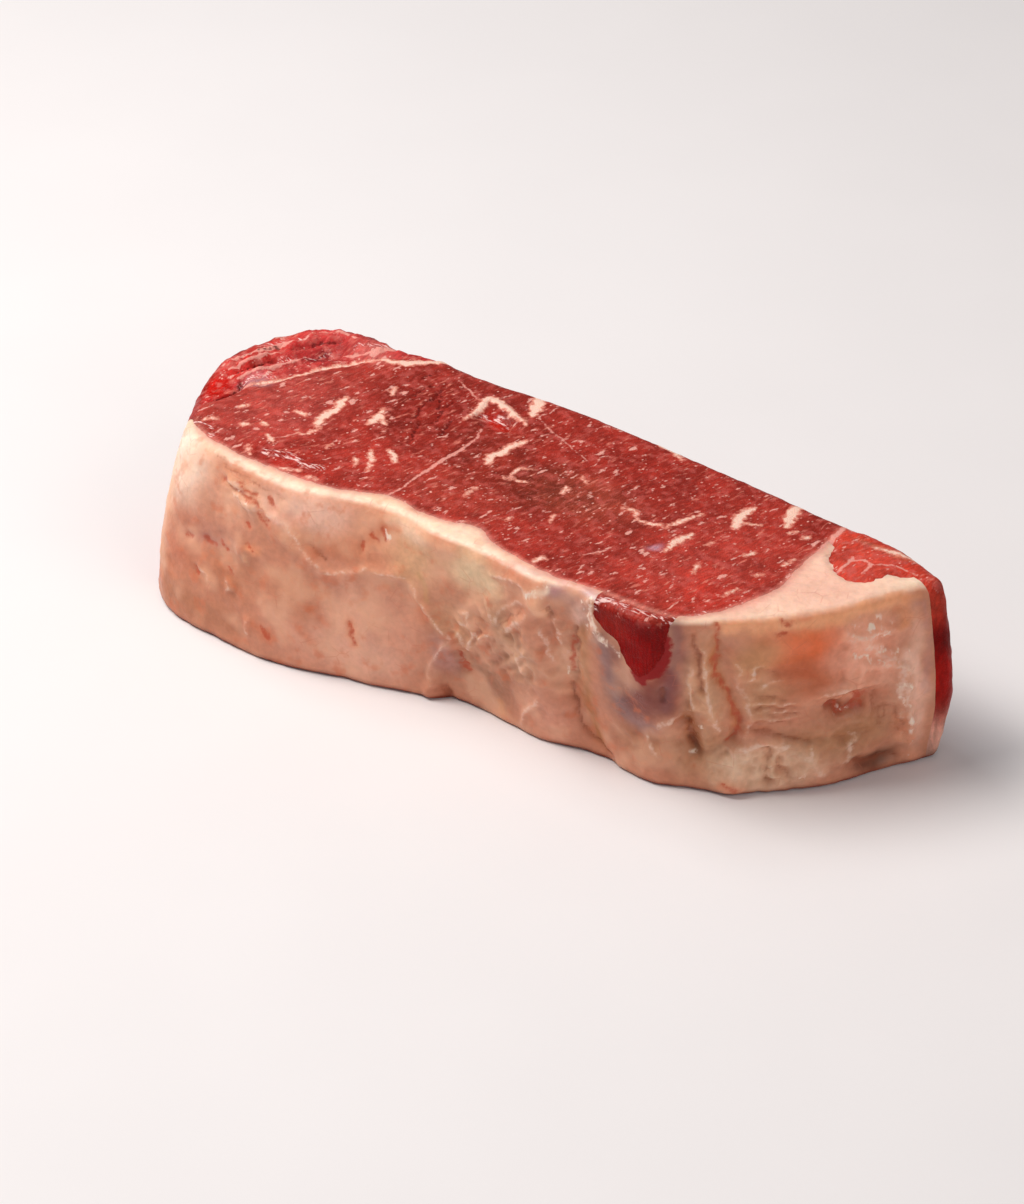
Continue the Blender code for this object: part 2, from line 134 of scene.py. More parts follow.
# How far the lower part stands out from the rim (+) or draws in under it (-), along X
NEAR_FLARE = ((-97.0, 9.4), (-62.0, 7.0), (-40.0, 5.8), (-20.0, 6.2), (-12.0, 2.6), (-2.0, -4.2),
              (12.0, -3.6), (30.0, -4.2), (50.0, -4.6), (60.0, -3.2), (68.0, 0.6), (80.0, 3.4),
              (97.0, 3.2))
THICK_END_FLARE = 4.6
TAIL_END_FLARE = 3.6
FLARE_RATE = 2.0
FAR_FLARE_SHARE = 0.45
BELLY_RETURN = 0.35
BELLY_DEPTH = 0.6
FLARE_Y = (28.0, -22.0)
THICK_END_X = (-55.0, -88.0)
TAIL_END_X = (68.0, 92.0)
NEAR_FACING = (0.15, -0.35)
NEAR_END_Y = (24.0, 14.0)
SIDE_MUSCLE_X = (-52.0, -64.0)
SIDE_MUSCLE_Y = (-20.0, -12.0)

# Folds, ridges and cuts on the near side: (points as x and height, half width, rise)
SIDE_LINES = (
    (((-63, 45), (-55, 40), (-47, 36), (-38, 30), (-30, 26), (-22, 30), (-14, 32)), 1.7, 0.7),
    (((-14, 32), (-8, 27), (-3, 20), (-2, 16), (-5, 8), (-7, 1)), 1.8, 0.6),
    (((27.4, 35), (28.5, 27), (31.5, 20), (33, 12), (36.6, 6), (41, 0)), 2.6, -1.1),
    (((22, 33), (24.5, 24), (27, 15), (30, 5)), 3.4, 0.9),
    (((61.2, 36), (60.8, 24), (62.2, 10)), 2.4, -1.3),
    (((63.8, 40), (64.2, 32), (64.8, 20)), 2.2, 0.7),
    (((66.2, 40), (67, 34), (69.4, 26), (70.4, 19), (67.6, 12)), 2.4, -1.1),
    (((72.8, 29), (80, 28)), 1.6, -0.5),
    (((72.8, 23), (81, 21.5)), 1.6, -0.5),
    (((46, 27), (50, 18), (56, 14)), 4.0, -0.9),
)
# Blobs, pits and tags: (x, height, half width, half height, rise)
SIDE_SPOTS = (
    (25.5, 39.0, 3.0, 3.4, 1.5), (85.0, 22.0, 2.6, 2.4, -1.7), (48.0, 38.0, 9.0, 8.0, -0.7),
    (-54.0, 27.0, 2.4, 3.0, 0.9), (-68.0, 24.0, 7.0, 5.0, -0.9), (-6.0, 1.8, 1.8, 2.0, 0.8),
    (69.5, 2.4, 2.8, 2.6, 1.4), (90.5, 4.0, 4.0, 3.6, -1.4), (8.0, 28.0, 9.0, 8.0, 1.0),
    (-30.0, 14.0, 16.0, 9.0, 0.8), (78.0, 36.0, 7.0, 6.0, 0.8), (92.0, 34.0, 2.0, 9.0, -0.5),
)
FAR_BARREL = 1.6
FAR_RIPPLE = 0.5
RIPPLE_LENGTH = 4.6
RIPPLE_LEAN = (2, 5)
RIM_FADE = 3.0
RELIEF_DEPTH = (9.0, 5.5)

# Corners past the outline that close the side muscle's area in plan
SIDE_MUSCLE_CORNERS = ((-115.0, -16.5), (-115.0, 50.0))

# Swells and hollows of the upper face: (x, y, half length, half width, rise)
TOP_SPOTS = (
    (-87.0, -9.0, 4.5, 6.0, -2.6), (-76.0, 20.0, 7.0, 5.0, -1.4), (-88.0, 12.0, 4.0, 7.0, -1.2),
    (-68.0, 27.0, 12.0, 5.0, 1.6), (-23.0, 17.5, 5.5, 2.8, -1.1), (-55.0, -22.0, 14.0, 5.0, 0.8),
    (-5.0, 0.0, 30.0, 12.0, -0.7), (35.0, 5.0, 24.0, 12.0, 0.6), (82.0, 20.0, 6.0, 5.0, 0.7),
    (-38.0, 8.0, 8.0, 6.0, -0.6),
)
TOP_SWELL = 0.25
TOP_SWELL_LENGTH = 10.0
TOP_RELIEF_DEPTH = 9.0
SEAM_GROOVE = 0.55
SEAM_GROOVE_WIDTH = 1.1

# How far the rim is rounded over, along X, on the near side, and all round the rest
NEAR_ROUNDING = ((-97.0, 4.2), (-60.0, 3.0), (-20.0, 2.6), (0.0, 3.8), (30.0, 3.0), (40.0, 1.6),
                 (60.0, 1.4), (80.0, 1.8), (97.0, 2.0))
FAR_ROUNDING = 3.4
SIDE_MUSCLE_ROUNDING = 5.2
ROUNDING_STEPS = 9
FOOT_RADIUS = 1.3
FOOT_STEPS = 3
SHARP_ANGLE = math.radians(70)

# Display colours that the marks share
CREAM = (252, 226, 204)
PEACH = (240, 180, 142)
ORANGE = (212, 106, 60)
RUST = (190, 88, 56)
TAN = (200, 154, 106)

# Marks on the near side: (points as x and height, half width, rise).
# Pale ones are raised edges of skin, painted pale partly as painted highlight along their folds; red ones are
# nicks; dark ones are creases, painted dark as painted shade.
PALE_MARKS = (
    (((-60.7, 39.5), (-52.4, 39), (-48.3, 37.9), (-45.7, 37.9), (-41.6, 35.6), (-38, 32.1), (-35.1, 29.2),
      (-31.7, 27.5), (-28.3, 28.1), (-23.2, 30.5), (-18.6, 30.4), (-12.9, 31.4), (-8.4, 27.7)), 0.14, 0.28),
    (((-60.5, 42.3), (-57, 41.2), (-53.5, 40.9)), 0.35, 0.4),
    (((-57.5, 39.2), (-53.5, 38.2), (-50.4, 37.6)), 0.3, 0.35),
    (((-57.6, 17.5), (-56.6, 16.9), (-58.1, 15.2)), 0.3, 0.5),
    (((-51.9, 10.5), (-51.4, 6.5)), 0.3, 0.5),
    (((-66.3, 17.6), (-63.6, 15.6)), 0.25, 0.3),
    (((-8.9, 27.2), (-5.8, 23), (-2.2, 19), (-1.1, 17.8), (-4.3, 13.8), (-6.3, 8.1), (-5.8, 4.1)), 0.2, 0.4),
    (((13.4, 29.4), (13.9, 31.7), (17.5, 35.8), (21.6, 38.7)), 0.3, 0.2),
    (((15.4, 27.7), (20.6, 33), (22.7, 35.9)), 0.3, 0.2),
    (((3, 27.5), (4.6, 28.1), (4.6, 24.6), (2, 24.6)), 0.35, 0.4),
    (((10.8, 33.9), (11.8, 31.1), (12.9, 29.4)), 0.3, 0.4),
    (((0.4, 18.9), (1.4, 20.6), (3, 17.2), (5.6, 22.9), (7.2, 21.8), (10.3, 24.7)), 0.4, 0.5),
    (((25.8, 33.1), (26.8, 29.6), (28.3, 25)), 0.35, 0.5),
    (((29.5, 36.5), (30.4, 31), (31.6, 26)), 0.3, 0.4),
    (((21.6, 24.9), (18.5, 20.2), (20.6, 18.5)), 0.35, 0.5),
    (((18.5, 2.4), (19.6, 6.4), (24.2, 11.6)), 0.3, 0.5),
    (((12.5, 41.7), (18, 42.6), (23.2, 42.4)), 0.25, 0.3),
    (((38.6, 45), (38.6, 41), (40, 37), (43, 35.4), (45.6, 35)), 0.6, 0.5),
    (((62, 34), (62, 27.7), (62.4, 22.3)), 0.3, 0.5),
    (((64.4, 39.1), (64.8, 30.7), (65.9, 21), (67.5, 16.8)), 0.3, 0.4),
    (((55.8, 16.3), (58, 18.7), (60, 20.5)), 0.5, 0.5),
    (((52.9, 13.2), (53.5, 10.8), (54.9, 7.8)), 0.3, 0.4),
    (((72.2, 30), (72.9, 33.6), (74.3, 33.5)), 0.25, 0.3),
    (((74, 27.6), (74.7, 29.3), (76.7, 29.9)), 0.25, 0.3),
    (((69.3, 9.6), (71.9, 12.6), (74.7, 13.8), (78, 13)), 0.4, 0.6),
    (((73.2, 24.3), (79, 24)), 0.1, 0.3),
    (((73.4, 21.9), (79.4, 21.8)), 0.1, 0.3),
    (((73.2, 20), (79.2, 20)), 0.1, 0.3),
    (((70.5, 34.5), (70.8, 28), (72.4, 22), (72, 16)), 0.1, 0.3),
    (((80.6, 12), (81.4, 8), (82.6, 4)), 0.3, 0.5),
    (((85.4, 14), (86, 9), (85.4, 6)), 0.3, 0.4),
    (((85, 39.4), (86, 37.6), (87.4, 37), (89, 38.1)), 0.4, 0.4),
    (((87.4, 35.8), (88.7, 32.2), (89.9, 31), (88.9, 30.2)), 0.4, 0.4),
    (((88.7, 29.8), (90.4, 28.6), (90.9, 25.6), (91.1, 21.4), (91.2, 17.3), (91.9, 12.5), (91.7, 8.3),
      (92.4, 2.4)), 0.5, 0.7),
    (((90.9, 32.2), (92.1, 29.6), (92.1, 27.3), (91.2, 27.4), (90.6, 30.4)), 0.3, 0.4),
    (((82.4, 24.6), (84.4, 25.4), (86.4, 24.4)), 0.5, 0.5),
    (((93.8, 42.6), (94.6, 44), (95.5, 44.8)), 0.3, 0.0),
)
RED_MARKS = (
    (((-59.7, 40.5), (-52.9, 40), (-47.2, 36.9)), 0.3, -0.4),
    (((-57.8, 42.1), (-51.4, 41)), 0.25, -0.3),
    (((-48, 41.4), (-46.4, 40.4)), 0.6, -0.3),
    (((-54.2, 34.2), (-52.8, 33.4)), 0.5, -0.2),
    (((-50.6, 37.8), (-47.6, 35.4)), 0.3, -0.3),
    (((-62.4, 41.4), (-60.4, 42.4)), 0.25, -0.2),
    (((-22.8, 39.2), (-21.4, 37.6)), 0.35, -0.2),
    (((-20.2, 40.6), (-19, 39)), 0.35, -0.2),
    (((-52.6, 29.6), (-51, 28.6)), 0.3, -0.2),
    (((-65.2, 24.2), (-62.4, 24.8)), 0.25, -0.2),
    (((-47.6, 9.6), (-45.2, 7)), 0.4, -0.1),
    (((-58.2, 20.6), (-56.8, 19.4)), 0.25, -0.2),
    (((-71, 23.1), (-69.8, 24)), 0.35, -0.2),
    (((-65.8, 24.9), (-64.8, 25.2)), 0.35, -0.2),
    (((-60.9, 26.2), (-59, 25.6)), 0.35, -0.2),
    (((-67.5, 17), (-66.3, 16)), 0.3, -0.3),
    (((-24.6, 36.2), (-24, 35)), 0.4, -0.2),
    (((-25.7, 15.9), (-24.8, 13.5), (-24.2, 11.2)), 0.35, -0.2),
    (((0.8, 11.6), (2.2, 9.8)), 0.45, -0.4),
    (((-0.1, 14.4), (2, 11.8)), 0.3, -0.5),
    (((83.1, 21.5), (84.2, 21.3), (84.4, 19.7), (86, 19.7), (86.7, 22.7), (85.7, 24.2)), 0.2, -0.8),
    (((66.3, 45), (66.7, 39.1), (66.3, 33.1), (67.5, 29.4), (69, 25.8), (69.7, 22.2), (70.8, 18.6),
      (70.1, 15), (68.6, 13.8)), 0.25, -0.4),
    (((68.6, 3), (70.8, 2)), 0.2, 0.0),
    (((33.5, 33), (32.8, 27), (32.4, 22)), 0.25, -0.3),
    (((76.5, 45.2), (77.4, 43.6)), 0.3, -0.2),
    (((76, 41.6), (77, 41.2)), 0.3, -0.2),
)
DARK_MARKS = (
    (((-66, 45.2), (-63.8, 44.6), (-58.1, 43.9), (-50.9, 43.4), (-47.2, 43.2), (-44.1, 42.6)), 0.06, -0.2),
    (((-36, 33.4), (-32.4, 30.2)), 0.1, -0.3),
    (((14.4, 29), (18.5, 33.5), (21.7, 36.8)), 0.1, -0.1),
    (((28.2, 39.4), (28.6, 36.5)), 0.3, -0.6),
    (((31.8, 18.2), (32.8, 10.6), (35.4, 5.4), (42.6, 1.6)), 0.3, -0.5),
    (((34.3, 36), (34.2, 29), (33.4, 22)), 0.15, -0.5),
    (((57.6, 26.9), (56.8, 25)), 0.4, -0.7),
    (((62.4, 42.1), (63.2, 38.5), (63.6, 33.7), (64, 27.7)), 0.3, -0.6),
    (((61.6, 18), (62.1, 14.5), (62.8, 11.4)), 0.5, -0.9),
    (((62.2, 12.6), (62.6, 11.4)), 0.7, -0.6),
    (((72.6, 31.8), (74, 33.2), (76, 32.3)), 0.02, -0.3),
    (((73.6, 22.8), (79, 22.7)), 0.04, -0.35),
    (((75.4, 21), (79, 20.9)), 0.04, -0.35),
    (((73.3, 18.8), (78.4, 19.1)), 0.02, -0.3),
    (((73.6, 25.8), (77, 25.1)), 0.02, -0.3),
    (((72.6, 17.6), (78.4, 15), (80.3, 13.7)), 0.2, -0.6),
    (((75.4, 12), (75, 7.8), (75.4, 3.6)), 0.05, -0.6),
    (((77, 10.2), (77.4, 7.2), (78.4, 4.8)), 0.05, -0.5),
    (((87.8, 23.8), (88.3, 19.1), (88.5, 13.1)), 0.02, -0.25),
    (((89, 18.5), (90.4, 16.2), (90.6, 11)), 0.02, -0.25),
    (((-3.8, 3), (-2.8, 1.2), (-2.4, 0)), 0.7, -0.8),
    (((86.2, 5.4), (88.2, 3.8), (91, 3.4)), 0.6, -0.5),
)
# Lean that shows through beside the bare patch: (points, half width)
BARE_MARKS = (
    (((57, 44), (56.6, 38), (55.4, 33), (52.6, 30)), 2.3),
    (((40.6, 43), (42, 40.5)), 1.4),
    (((50, 31), (53, 28.6)), 1.4),
)
# Soft stains there: (points, half width, colour, strength)
SIDE_STAINS = (
    (((-52, 28.2), (-49.8, 28)), 1.2, (240, 156, 116), 0.9),
    (((-53, 25.6), (-52.8, 24.4)), 0.8, PEACH, 0.6),
    (((-71, 23.1), (-65.4, 24.9), (-59.2, 26.2)), 1.5, (186, 116, 108), 0.45),
    (((-22.7, 38.7), (-20.1, 41), (-24.2, 35.7)), 1.3, ORANGE, 0.6),
    (((-37.4, 12), (-34.6, 8.8)), 1.2, ORANGE, 0.4),
    (((-25.7, 15.9), (-24.2, 11.2)), 1.2, ORANGE, 0.6),
    (((-51.5, 9.2), (-44.6, 7.6)), 1.6, ORANGE, 0.45),
    (((-32.6, 15.8), (-30.7, 14.7)), 1.0, ORANGE, 0.4),
    (((-36, 18.2), (-34.1, 17.6)), 1.1, ORANGE, 0.3),
    (((-32.2, 26.3), (-29.7, 25.8)), 1.1, ORANGE, 0.4),
    (((-74.6, 12.4), (-74, 11.8)), 1.6, ORANGE, 0.45),
    (((-60, 41.6), (-50, 38.6)), 2.0, PEACH, 0.5),
    (((-45, 39.8), (-41, 38), (-37.4, 34.4), (-35.4, 31.4)), 1.6, ORANGE, 0.3),
    (((-19.1, 41), (-16, 42)), 1.0, ORANGE, 0.5),
    (((-9.4, 33.5), (-7.4, 30.6), (-6.3, 27.1)), 0.8, TAN, 0.5),
    (((-9, 26), (-8, 22)), 1.4, ORANGE, 0.35),
    (((2, 10.4), (5, 9.4)), 1.2, RUST, 0.35),
    (((12.3, 4.6), (12, 2)), 1.4, (206, 138, 88), 0.7),
    (((25.2, 39.6), (26.8, 37.8)), 1.6, (246, 186, 146), 0.8),
    # A painted highlight: the wet glints above the orange-cream blob
    (((22.6, 41.4), (26, 42.6), (27.5, 43.8)), 0.7, CREAM, 0.8),
    (((36.5, 36), (35.6, 24), (36.6, 12), (38.5, 5)), 1.8, (176, 116, 70), 0.7),
    (((41.4, 35), (43.3, 26), (45.4, 19.4), (50, 15.6), (54, 16)), 2.0, (150, 122, 124), 0.6),
    (((46, 33), (48, 24), (53, 22), (56, 27)), 2.6, (136, 78, 70), 0.6),
    (((50, 29), (54, 28), (56.6, 31)), 1.6, (140, 52, 46), 0.6),
    (((59.4, 44.4), (59.8, 37.3), (58.8, 30.1), (57.2, 22)), 1.6, (134, 86, 86), 0.7),
    (((61.4, 21), (61.6, 12), (60, 9)), 1.6, (176, 112, 78), 0.6),
    (((66, 41), (66.4, 33), (68.8, 25.8), (70.4, 18)), 0.9, (206, 130, 82), 0.6),
    (((83.4, 22), (84.2, 20.4), (86, 20)), 0.7, (130, 50, 34), 0.6),
    (((85.4, 22.8), (86.4, 23.2)), 1.1, (236, 158, 128), 0.8),
    (((80, 29.4), (83, 28.8)), 1.2, (196, 104, 66), 0.5),
    (((68, 44.2), (74, 43.9), (80, 43.6), (86, 44), (91, 44.2)), 1.9, (255, 176, 130), 1.0),
    (((90.8, 15), (92, 7), (92.6, 2)), 0.8, (232, 140, 100), 0.5),
    (((92, 44), (91.6, 38)), 0.9, (246, 160, 112), 0.6),
    (((68.8, 2.6), (71, 2)), 1.3, (222, 134, 100), 0.55),
    (((93.9, 42), (94.1, 34), (93.6, 20)), 0.5, (186, 140, 142), 0.7),
)
SIDE_FOLDS = (
    (((33, 31), (33, 24), (32.5, 17)), 1.2, -0.3),
    (((72.9, 19), (80.3, 16)), 0.9, -0.4),
    (((91, 38), (92, 30), (91.6, 20), (92.4, 10), (93.2, 1)), 1.2, 0.8),
    (((71.5, 8), (72, 3)), 1.4, 0.6),
    (((76.4, 8), (76.6, 3)), 1.0, 0.5),
)
SIDE_BITS = (
    (95.4, 1.5, 1.6, 1.6, 1.0), (90.6, 31.0, 1.3, 1.8, 0.5), (91.8, 14.0, 1.2, 2.0, 0.6),
    (74.0, 8.5, 2.2, 3.0, 0.6), (79.5, 6.0, 1.8, 3.0, 0.6), (84.0, 6.5, 1.6, 2.6, 0.6),
    (69.0, 7.0, 2.0, 3.0, 0.5), (-51.0, 28.2, 1.3, 1.0, 0.5), (-52.9, 25.1, 0.9, 1.0, 0.4),
    (85.2, 26.0, 1.8, 1.2, 0.5), (-84.0, 1.5, 2.0, 1.6, 0.5), (57.4, 21.0, 2.0, 2.4, 0.5),
)
# Lumps all over, as (size, height)
FAT_LUMPS = ((6.0, 0.25), (2.2, 0.12), (1.1, 0.05))
LEAN_SIDE_LUMPS = ((3.4, 0.35), (1.3, 0.14))
LEAN_TOP_LUMPS = ((3.2, 0.17), (1.25, 0.12))
# Loose wrinkles of the fat, as (size, height), and where they are strongest
WRINKLES = ((4.6, 0.75), (2.0, 0.32))
LOOSE_EVERYWHERE = 0.12
LOOSE_PATCHES = (
    (16, 24, 13, 12, 0.8), (4, 16, 9, 10, 0.6), (31, 22, 5, 16, 0.5), (63, 18, 7, 14, 0.6),
    (76, 9, 10, 8, 0.9), (88, 26, 6, 16, 0.8), (-54, 39, 8, 4, 0.6), (-64, 24, 10, 5, 0.3),
    (54, 10, 9, 7, 0.4), (38, 40, 4, 6, 0.8),
)
WRINKLE_SHIFT = 0.5
WRINKLE_SHIFT_LENGTH = 1.5
WRINKLE_CREST = 0.6
WRINKLE_DROP = 2.0
# Painted shade and highlight: how much darker and redder the hollows are painted than the ridges there
CREASE_SHADE = 0.34
CREASE_HUE = np.array([0.7, 1.3, 1.6])
CREASE_RANGE = (-1.0, 0.5)
SIDE_MUSCLE_LUMPS = ((4.2, 0.9), (1.9, 0.5), (0.9, 0.2))
SIDE_MUSCLE_FADE = 2.5
MARK_RELIEF_WIDTH = (2.0, 0.75)
MARK_LIFT = 1.3
MARK_REACH = 3.0
MARK_SPACING = 0.6
CREASE_DEPTH = 0.45
CREASE_WIDTH = 0.6

# Folds of the upper face: (points in plan, half width, rise)
TOP_FOLDS = (
    (((-57.6, -26.3), (-53.7, -25), (-50, -24.2), (-46.4, -25), (-42.6, -23.8)), 0.8, 0.5),
    (((-91.4, 0.7), (-90.6, 5.6), (-88.8, 14.9), (-86.7, 17.8)), 0.9, 0.7),
    (((-89.8, -1.5), (-88.8, 3.4), (-88.2, 10.2)), 0.7, 0.5),
    (((-87.4, -1), (-86.4, 4), (-85, 10)), 0.8, -0.6),
    (((-85.7, -2.9), (-82.8, 2.9), (-79.9, 9.7), (-78.1, 13.8)), 0.8, 0.7),
    (((-84.1, 8.8), (-81.5, 13.5), (-78.4, 18.7), (-75, 21)), 1.6, -1.3),
    (((-83.8, -14.8), (-82.4, -10.1), (-82.4, -5.6), (-84.4, -2.5)), 0.8, -1.0),
    (((-92.8, 16), (-88.9, 21.5), (-86, 25.5), (-80, 28)), 1.0, 0.6),
    (((-84.6, 16), (-81.6, 22), (-77, 25.6)), 0.9, -0.7),
    (((-74, 19.4), (-69, 24), (-64, 26.4)), 0.8, 0.6),
    (((-28.2, 18.3), (-25.9, 20), (-22.5, 20), (-20.6, 18.6)), 1.3, -0.8),
    (((-30.5, 16), (-30.6, 19.6), (-31.4, 24.4), (-27.4, 24.4), (-22.2, 22.8), (-18.3, 21.6)), 0.8, 0.5),
    (((40.5, -27.4), (44, -27.4), (49.5, -27.2), (57, -26), (60, -23)), 0.6, 0.4),
)
# Creases between its fibres, grooved and painted dark as painted shade: (points in plan, half width)
CREASES = (
    (((-40.9, 8.8), (-42.8, 14.7), (-42, 18)), 0.22),
    (((-43.5, 23.2), (-42, 16)), 0.2),
    (((-35.5, 9), (-37.6, 16.5), (-37, 20)), 0.22),
    (((-34, -1.7), (-37, 3.8), (-38.4, 7.8)), 0.2),
    (((-38.6, 14.2), (-41.7, 19.6)), 0.2),
    (((-46, 14), (-47, 19), (-45.6, 22)), 0.2),
    (((-31, 6), (-33, 12)), 0.18),
    (((-50.2, 22), (-49, 27)), 0.2),
    (((-87.4, -1), (-86.4, 4), (-85, 10)), 0.3),
    (((-83.6, -14.4), (-82.6, -10.1), (-82.6, -5.6), (-84.6, -2.7)), 0.6),
    (((-84.6, 16), (-81.6, 22), (-77, 25.6)), 0.3),
    (((-91, 4), (-90.2, 10), (-88, 15)), 0.25),
    (((-80.6, 11.4), (-77.6, 17.6), (-73, 20.4)), 0.5),
)

# Marbling on the upper face: (points in plan, half width)
MARBLING = (
    (((-57.6, -14.6), (-55.6, -14), (-55, -10.1), (-56.6, -8)), 0.35),
    (((-55.6, -9.6), (-56.8, -7.9), (-57.4, -4.7), (-57.1, -1.1), (-57.8, 2.4)), 1.15),
    (((-58.2, 1.6), (-58.8, 4.4)), 0.9),
    (((-46.9, -1.6), (-47, 1), (-47.4, 3), (-48, 5.8)), 0.9),
    (((-44, 1.3), (-46.2, 2.8), (-47, 4)), 0.75),
    (((-39.1, -9.7), (-36, -13.7), (-33.7, -17.3)), 0.55),
    (((-35.6, -7.4), (-33.4, -8.6), (-31, -10.6)), 0.7),
    (((-39.6, -15.1), (-38.2, -16.2), (-37.4, -17.6)), 0.5),
    (((-64.3, -7.4), (-62.4, -7), (-60.7, -7.6)), 0.5),
    (((-61.5, -20.5), (-60, -21), (-58.4, -22.3)), 0.65),
    (((-69.4, -20), (-68.6, -19.6)), 0.7),
    (((-66.4, -16.4), (-65.4, -16.6)), 0.65),
    (((-62.8, -26.3), (-61.4, -27.4), (-59.7, -29)), 0.35),
    (((-42.6, -28.6), (-40.6, -28)), 0.55),
    (((-48, -15.6), (-47.8, -13.6)), 0.35),
    (((-51.9, 15.1), (-51.4, 12.9), (-50.4, 12.2)), 0.5),
    (((-78.4, -24), (-77.2, -22.2), (-75.6, -21.4)), 0.5),
    (((-75.4, -14.3), (-74.5, -12.1)), 0.35),
    (((-50, -29.5), (-47.6, -28.4), (-45.6, -27.2)), 0.35),
    (((-30.5, 15), (-30.5, 19.6), (-31.9, 24), (-31, 25.4), (-27.4, 24.6), (-22.2, 22.9),
      (-18.3, 21.7)), 1.15),
    (((-14.6, 2.4), (-15.6, 5.9), (-14.9, 8.4), (-14.6, 12), (-13.4, 15.4)), 1.15),
    (((-26.2, 35.4), (-23.4, 34), (-21, 29.6), (-19.1, 25)), 1.5),
    (((22.6, 4.9), (24.5, 5.6), (26.9, 4.5), (28, 2.9)), 0.45),
    (((29.1, 2.8), (31.2, 2.9), (34.5, 4.3)), 0.4),
    (((35.4, 3.6), (35.9, 6.6), (37.1, 9.7), (38.1, 14)), 0.5),
    (((41, -3.6), (40.6, 0.2), (41.2, 3), (41.8, 5.2)), 0.85),
    (((47.4, 13.8), (45.6, 17.6), (45.2, 21), (45.6, 23.8)), 1.3),
    (((47, 17), (49, 17.4), (51.2, 18.4)), 0.3),
    (((56, 22), (54.2, 26), (53.4, 29), (53.6, 31.9)), 1.3),
    (((20.2, -25), (20.4, -23), (21.4, -22)), 0.55),
    (((12.5, 33), (16.4, 32.8), (20.4, 30.6)), 0.8),
    (((56.9, 8), (55.8, 5.4)), 0.5),
    (((49.8, -3.4), (51.2, -7.6)), 0.35),
    (((58.3, 19.4), (59.5, 21.2)), 0.4),
    (((61.9, 19.6), (62.6, 21.6)), 0.4),
    (((46.7, 3.5), (47.4, 5.8)), 0.3),
    (((61.6, -10.4), (62.6, -6.4)), 0.35),
    (((62.3, 0.2), (63.6, 2)), 0.35),
    (((64.8, 7.3), (65.6, 11.1)), 0.3),
    (((6.4, 5), (7.6, 2.3)), 0.35),
    (((-9.8, -7.8), (-9, -12.8)), 0.4),
    (((12.6, -9.2), (11.5, -6.5)), 0.35),
    (((4, -15.2), (4.7, -12.8)), 0.3),
    (((-7.6, 0.2), (-2.2, 1.7)), 0.3),
    (((-3.5, 7), (-7.1, 5.2), (-6.9, 1.1)), 0.25),
    (((6.8, 1.6), (7.7, 4.6)), 0.3),
    (((6.9, 10.7), (9.5, 8.8)), 0.25),
    (((-80.6, -3.6), (-77.6, 0.6), (-74.6, 7), (-72.4, 12.6), (-69.2, 18), (-66, 21.2),
      (-62.6, 23.2), (-60, 24.4)), 0.6),
    (((-61, 23.4), (-57.4, 25), (-54.6, 28.6), (-51.9, 31.6), (-50, 33)), 1.4),
    (((76.6, 26), (80.5, 26.9), (83.9, 27.6), (87, 27.5)), 0.75),
)
# Thin seams of connective tissue there
THIN_SEAMS = (
    (((-24.8, 13.4), (-23, 8), (-23.2, 2), (-23.2, -5.2), (-22.8, -13.7), (-22.4, -20), (-23, -23.4)), 0.42),
    (((-17.5, 25.6), (-12.1, 22.8), (-8.1, 21.3), (-4.4, 20), (3.3, 16.9)), 0.12),
    (((-57.2, -14.4), (-58, -18), (-59, -20)), 0.2),
    (((30.6, -8.6), (29, -13.3), (26.4, -17)), 0.2),
    (((-42, 26.8), (-38, 25.2), (-34.2, 23.2)), 0.22),
    (((-83.9, -16.4), (-82.2, -13), (-82, -9), (-82, -5.6), (-79.9, -2.6)), 0.35),
    (((-92.4, -1), (-91, 3), (-90.4, 8), (-88.6, 14.9), (-86.4, 18.2)), 0.7),
    (((-89.8, -1.5), (-88.6, 3.4), (-88, 10.2), (-86, 13)), 0.5),
    (((-85.7, -2.9), (-82.8, 2.9), (-79.9, 9.7), (-78.6, 12.8)), 0.6),
    (((-66, 23.6), (-65, 26.6), (-62.3, 28)), 1.1),
    (((-74, 20.6), (-70, 21.8), (-66, 24)), 0.4),
    (((-84, 24.6), (-79, 27.4), (-74, 27)), 0.4),
    (((68.4, 13), (67.7, 20), (66.7, 27), (66.2, 33)), 0.7),
    (((75.4, 19.6), (76, 16.4), (75.8, 12.6)), 0.4),
    (((76, 18), (78.6, 19.6), (80.6, 18.6), (81, 15)), 0.35),
    (((81, 19), (85, 22), (90, 22.6)), 0.25),
    (((51.9, 43.9), (51.4, 37.9), (50.4, 30.1)), 0.05),
)

# How strongly each lean's surface is bloomed pale, by material
LEAN_BLOOM = {"lean": 0.4, "tail_lean": 0.55, "side_lean": 0.85}
# Display colours of a material's layers, from the lowest up
# Of the lean's layers, the creases are painted shade, the glints painted highlights, and the specks pale
# flecks of fat that partly stand in as painted glints
LEAN_LAYERS = {
    "bloom": (206, 100, 94), "streaks": (218, 124, 110), "specks": (240, 176, 166), "seams": (234, 160, 150),
    "creases": (84, 20, 20), "marbling": (226, 142, 126), "marbling_core": (246, 206, 190),
    "painted_glints": (255, 216, 214),
}
# Of the fat's layers, the dark marks are painted shade in its creases, the pale marks pale skin partly
# painted as highlight along folds, and the glints painted highlights
FAT_LAYERS = {
    "flush": (214, 116, 78), "cloud": (242, 184, 152), "veins": (204, 116, 92), "shaded_creases": (150, 78, 52),
    "red_marks": (196, 84, 56), "bare": (150, 4, 0), "pale_marks": (250, 218, 200), "painted_glints": (255, 232, 214),
}
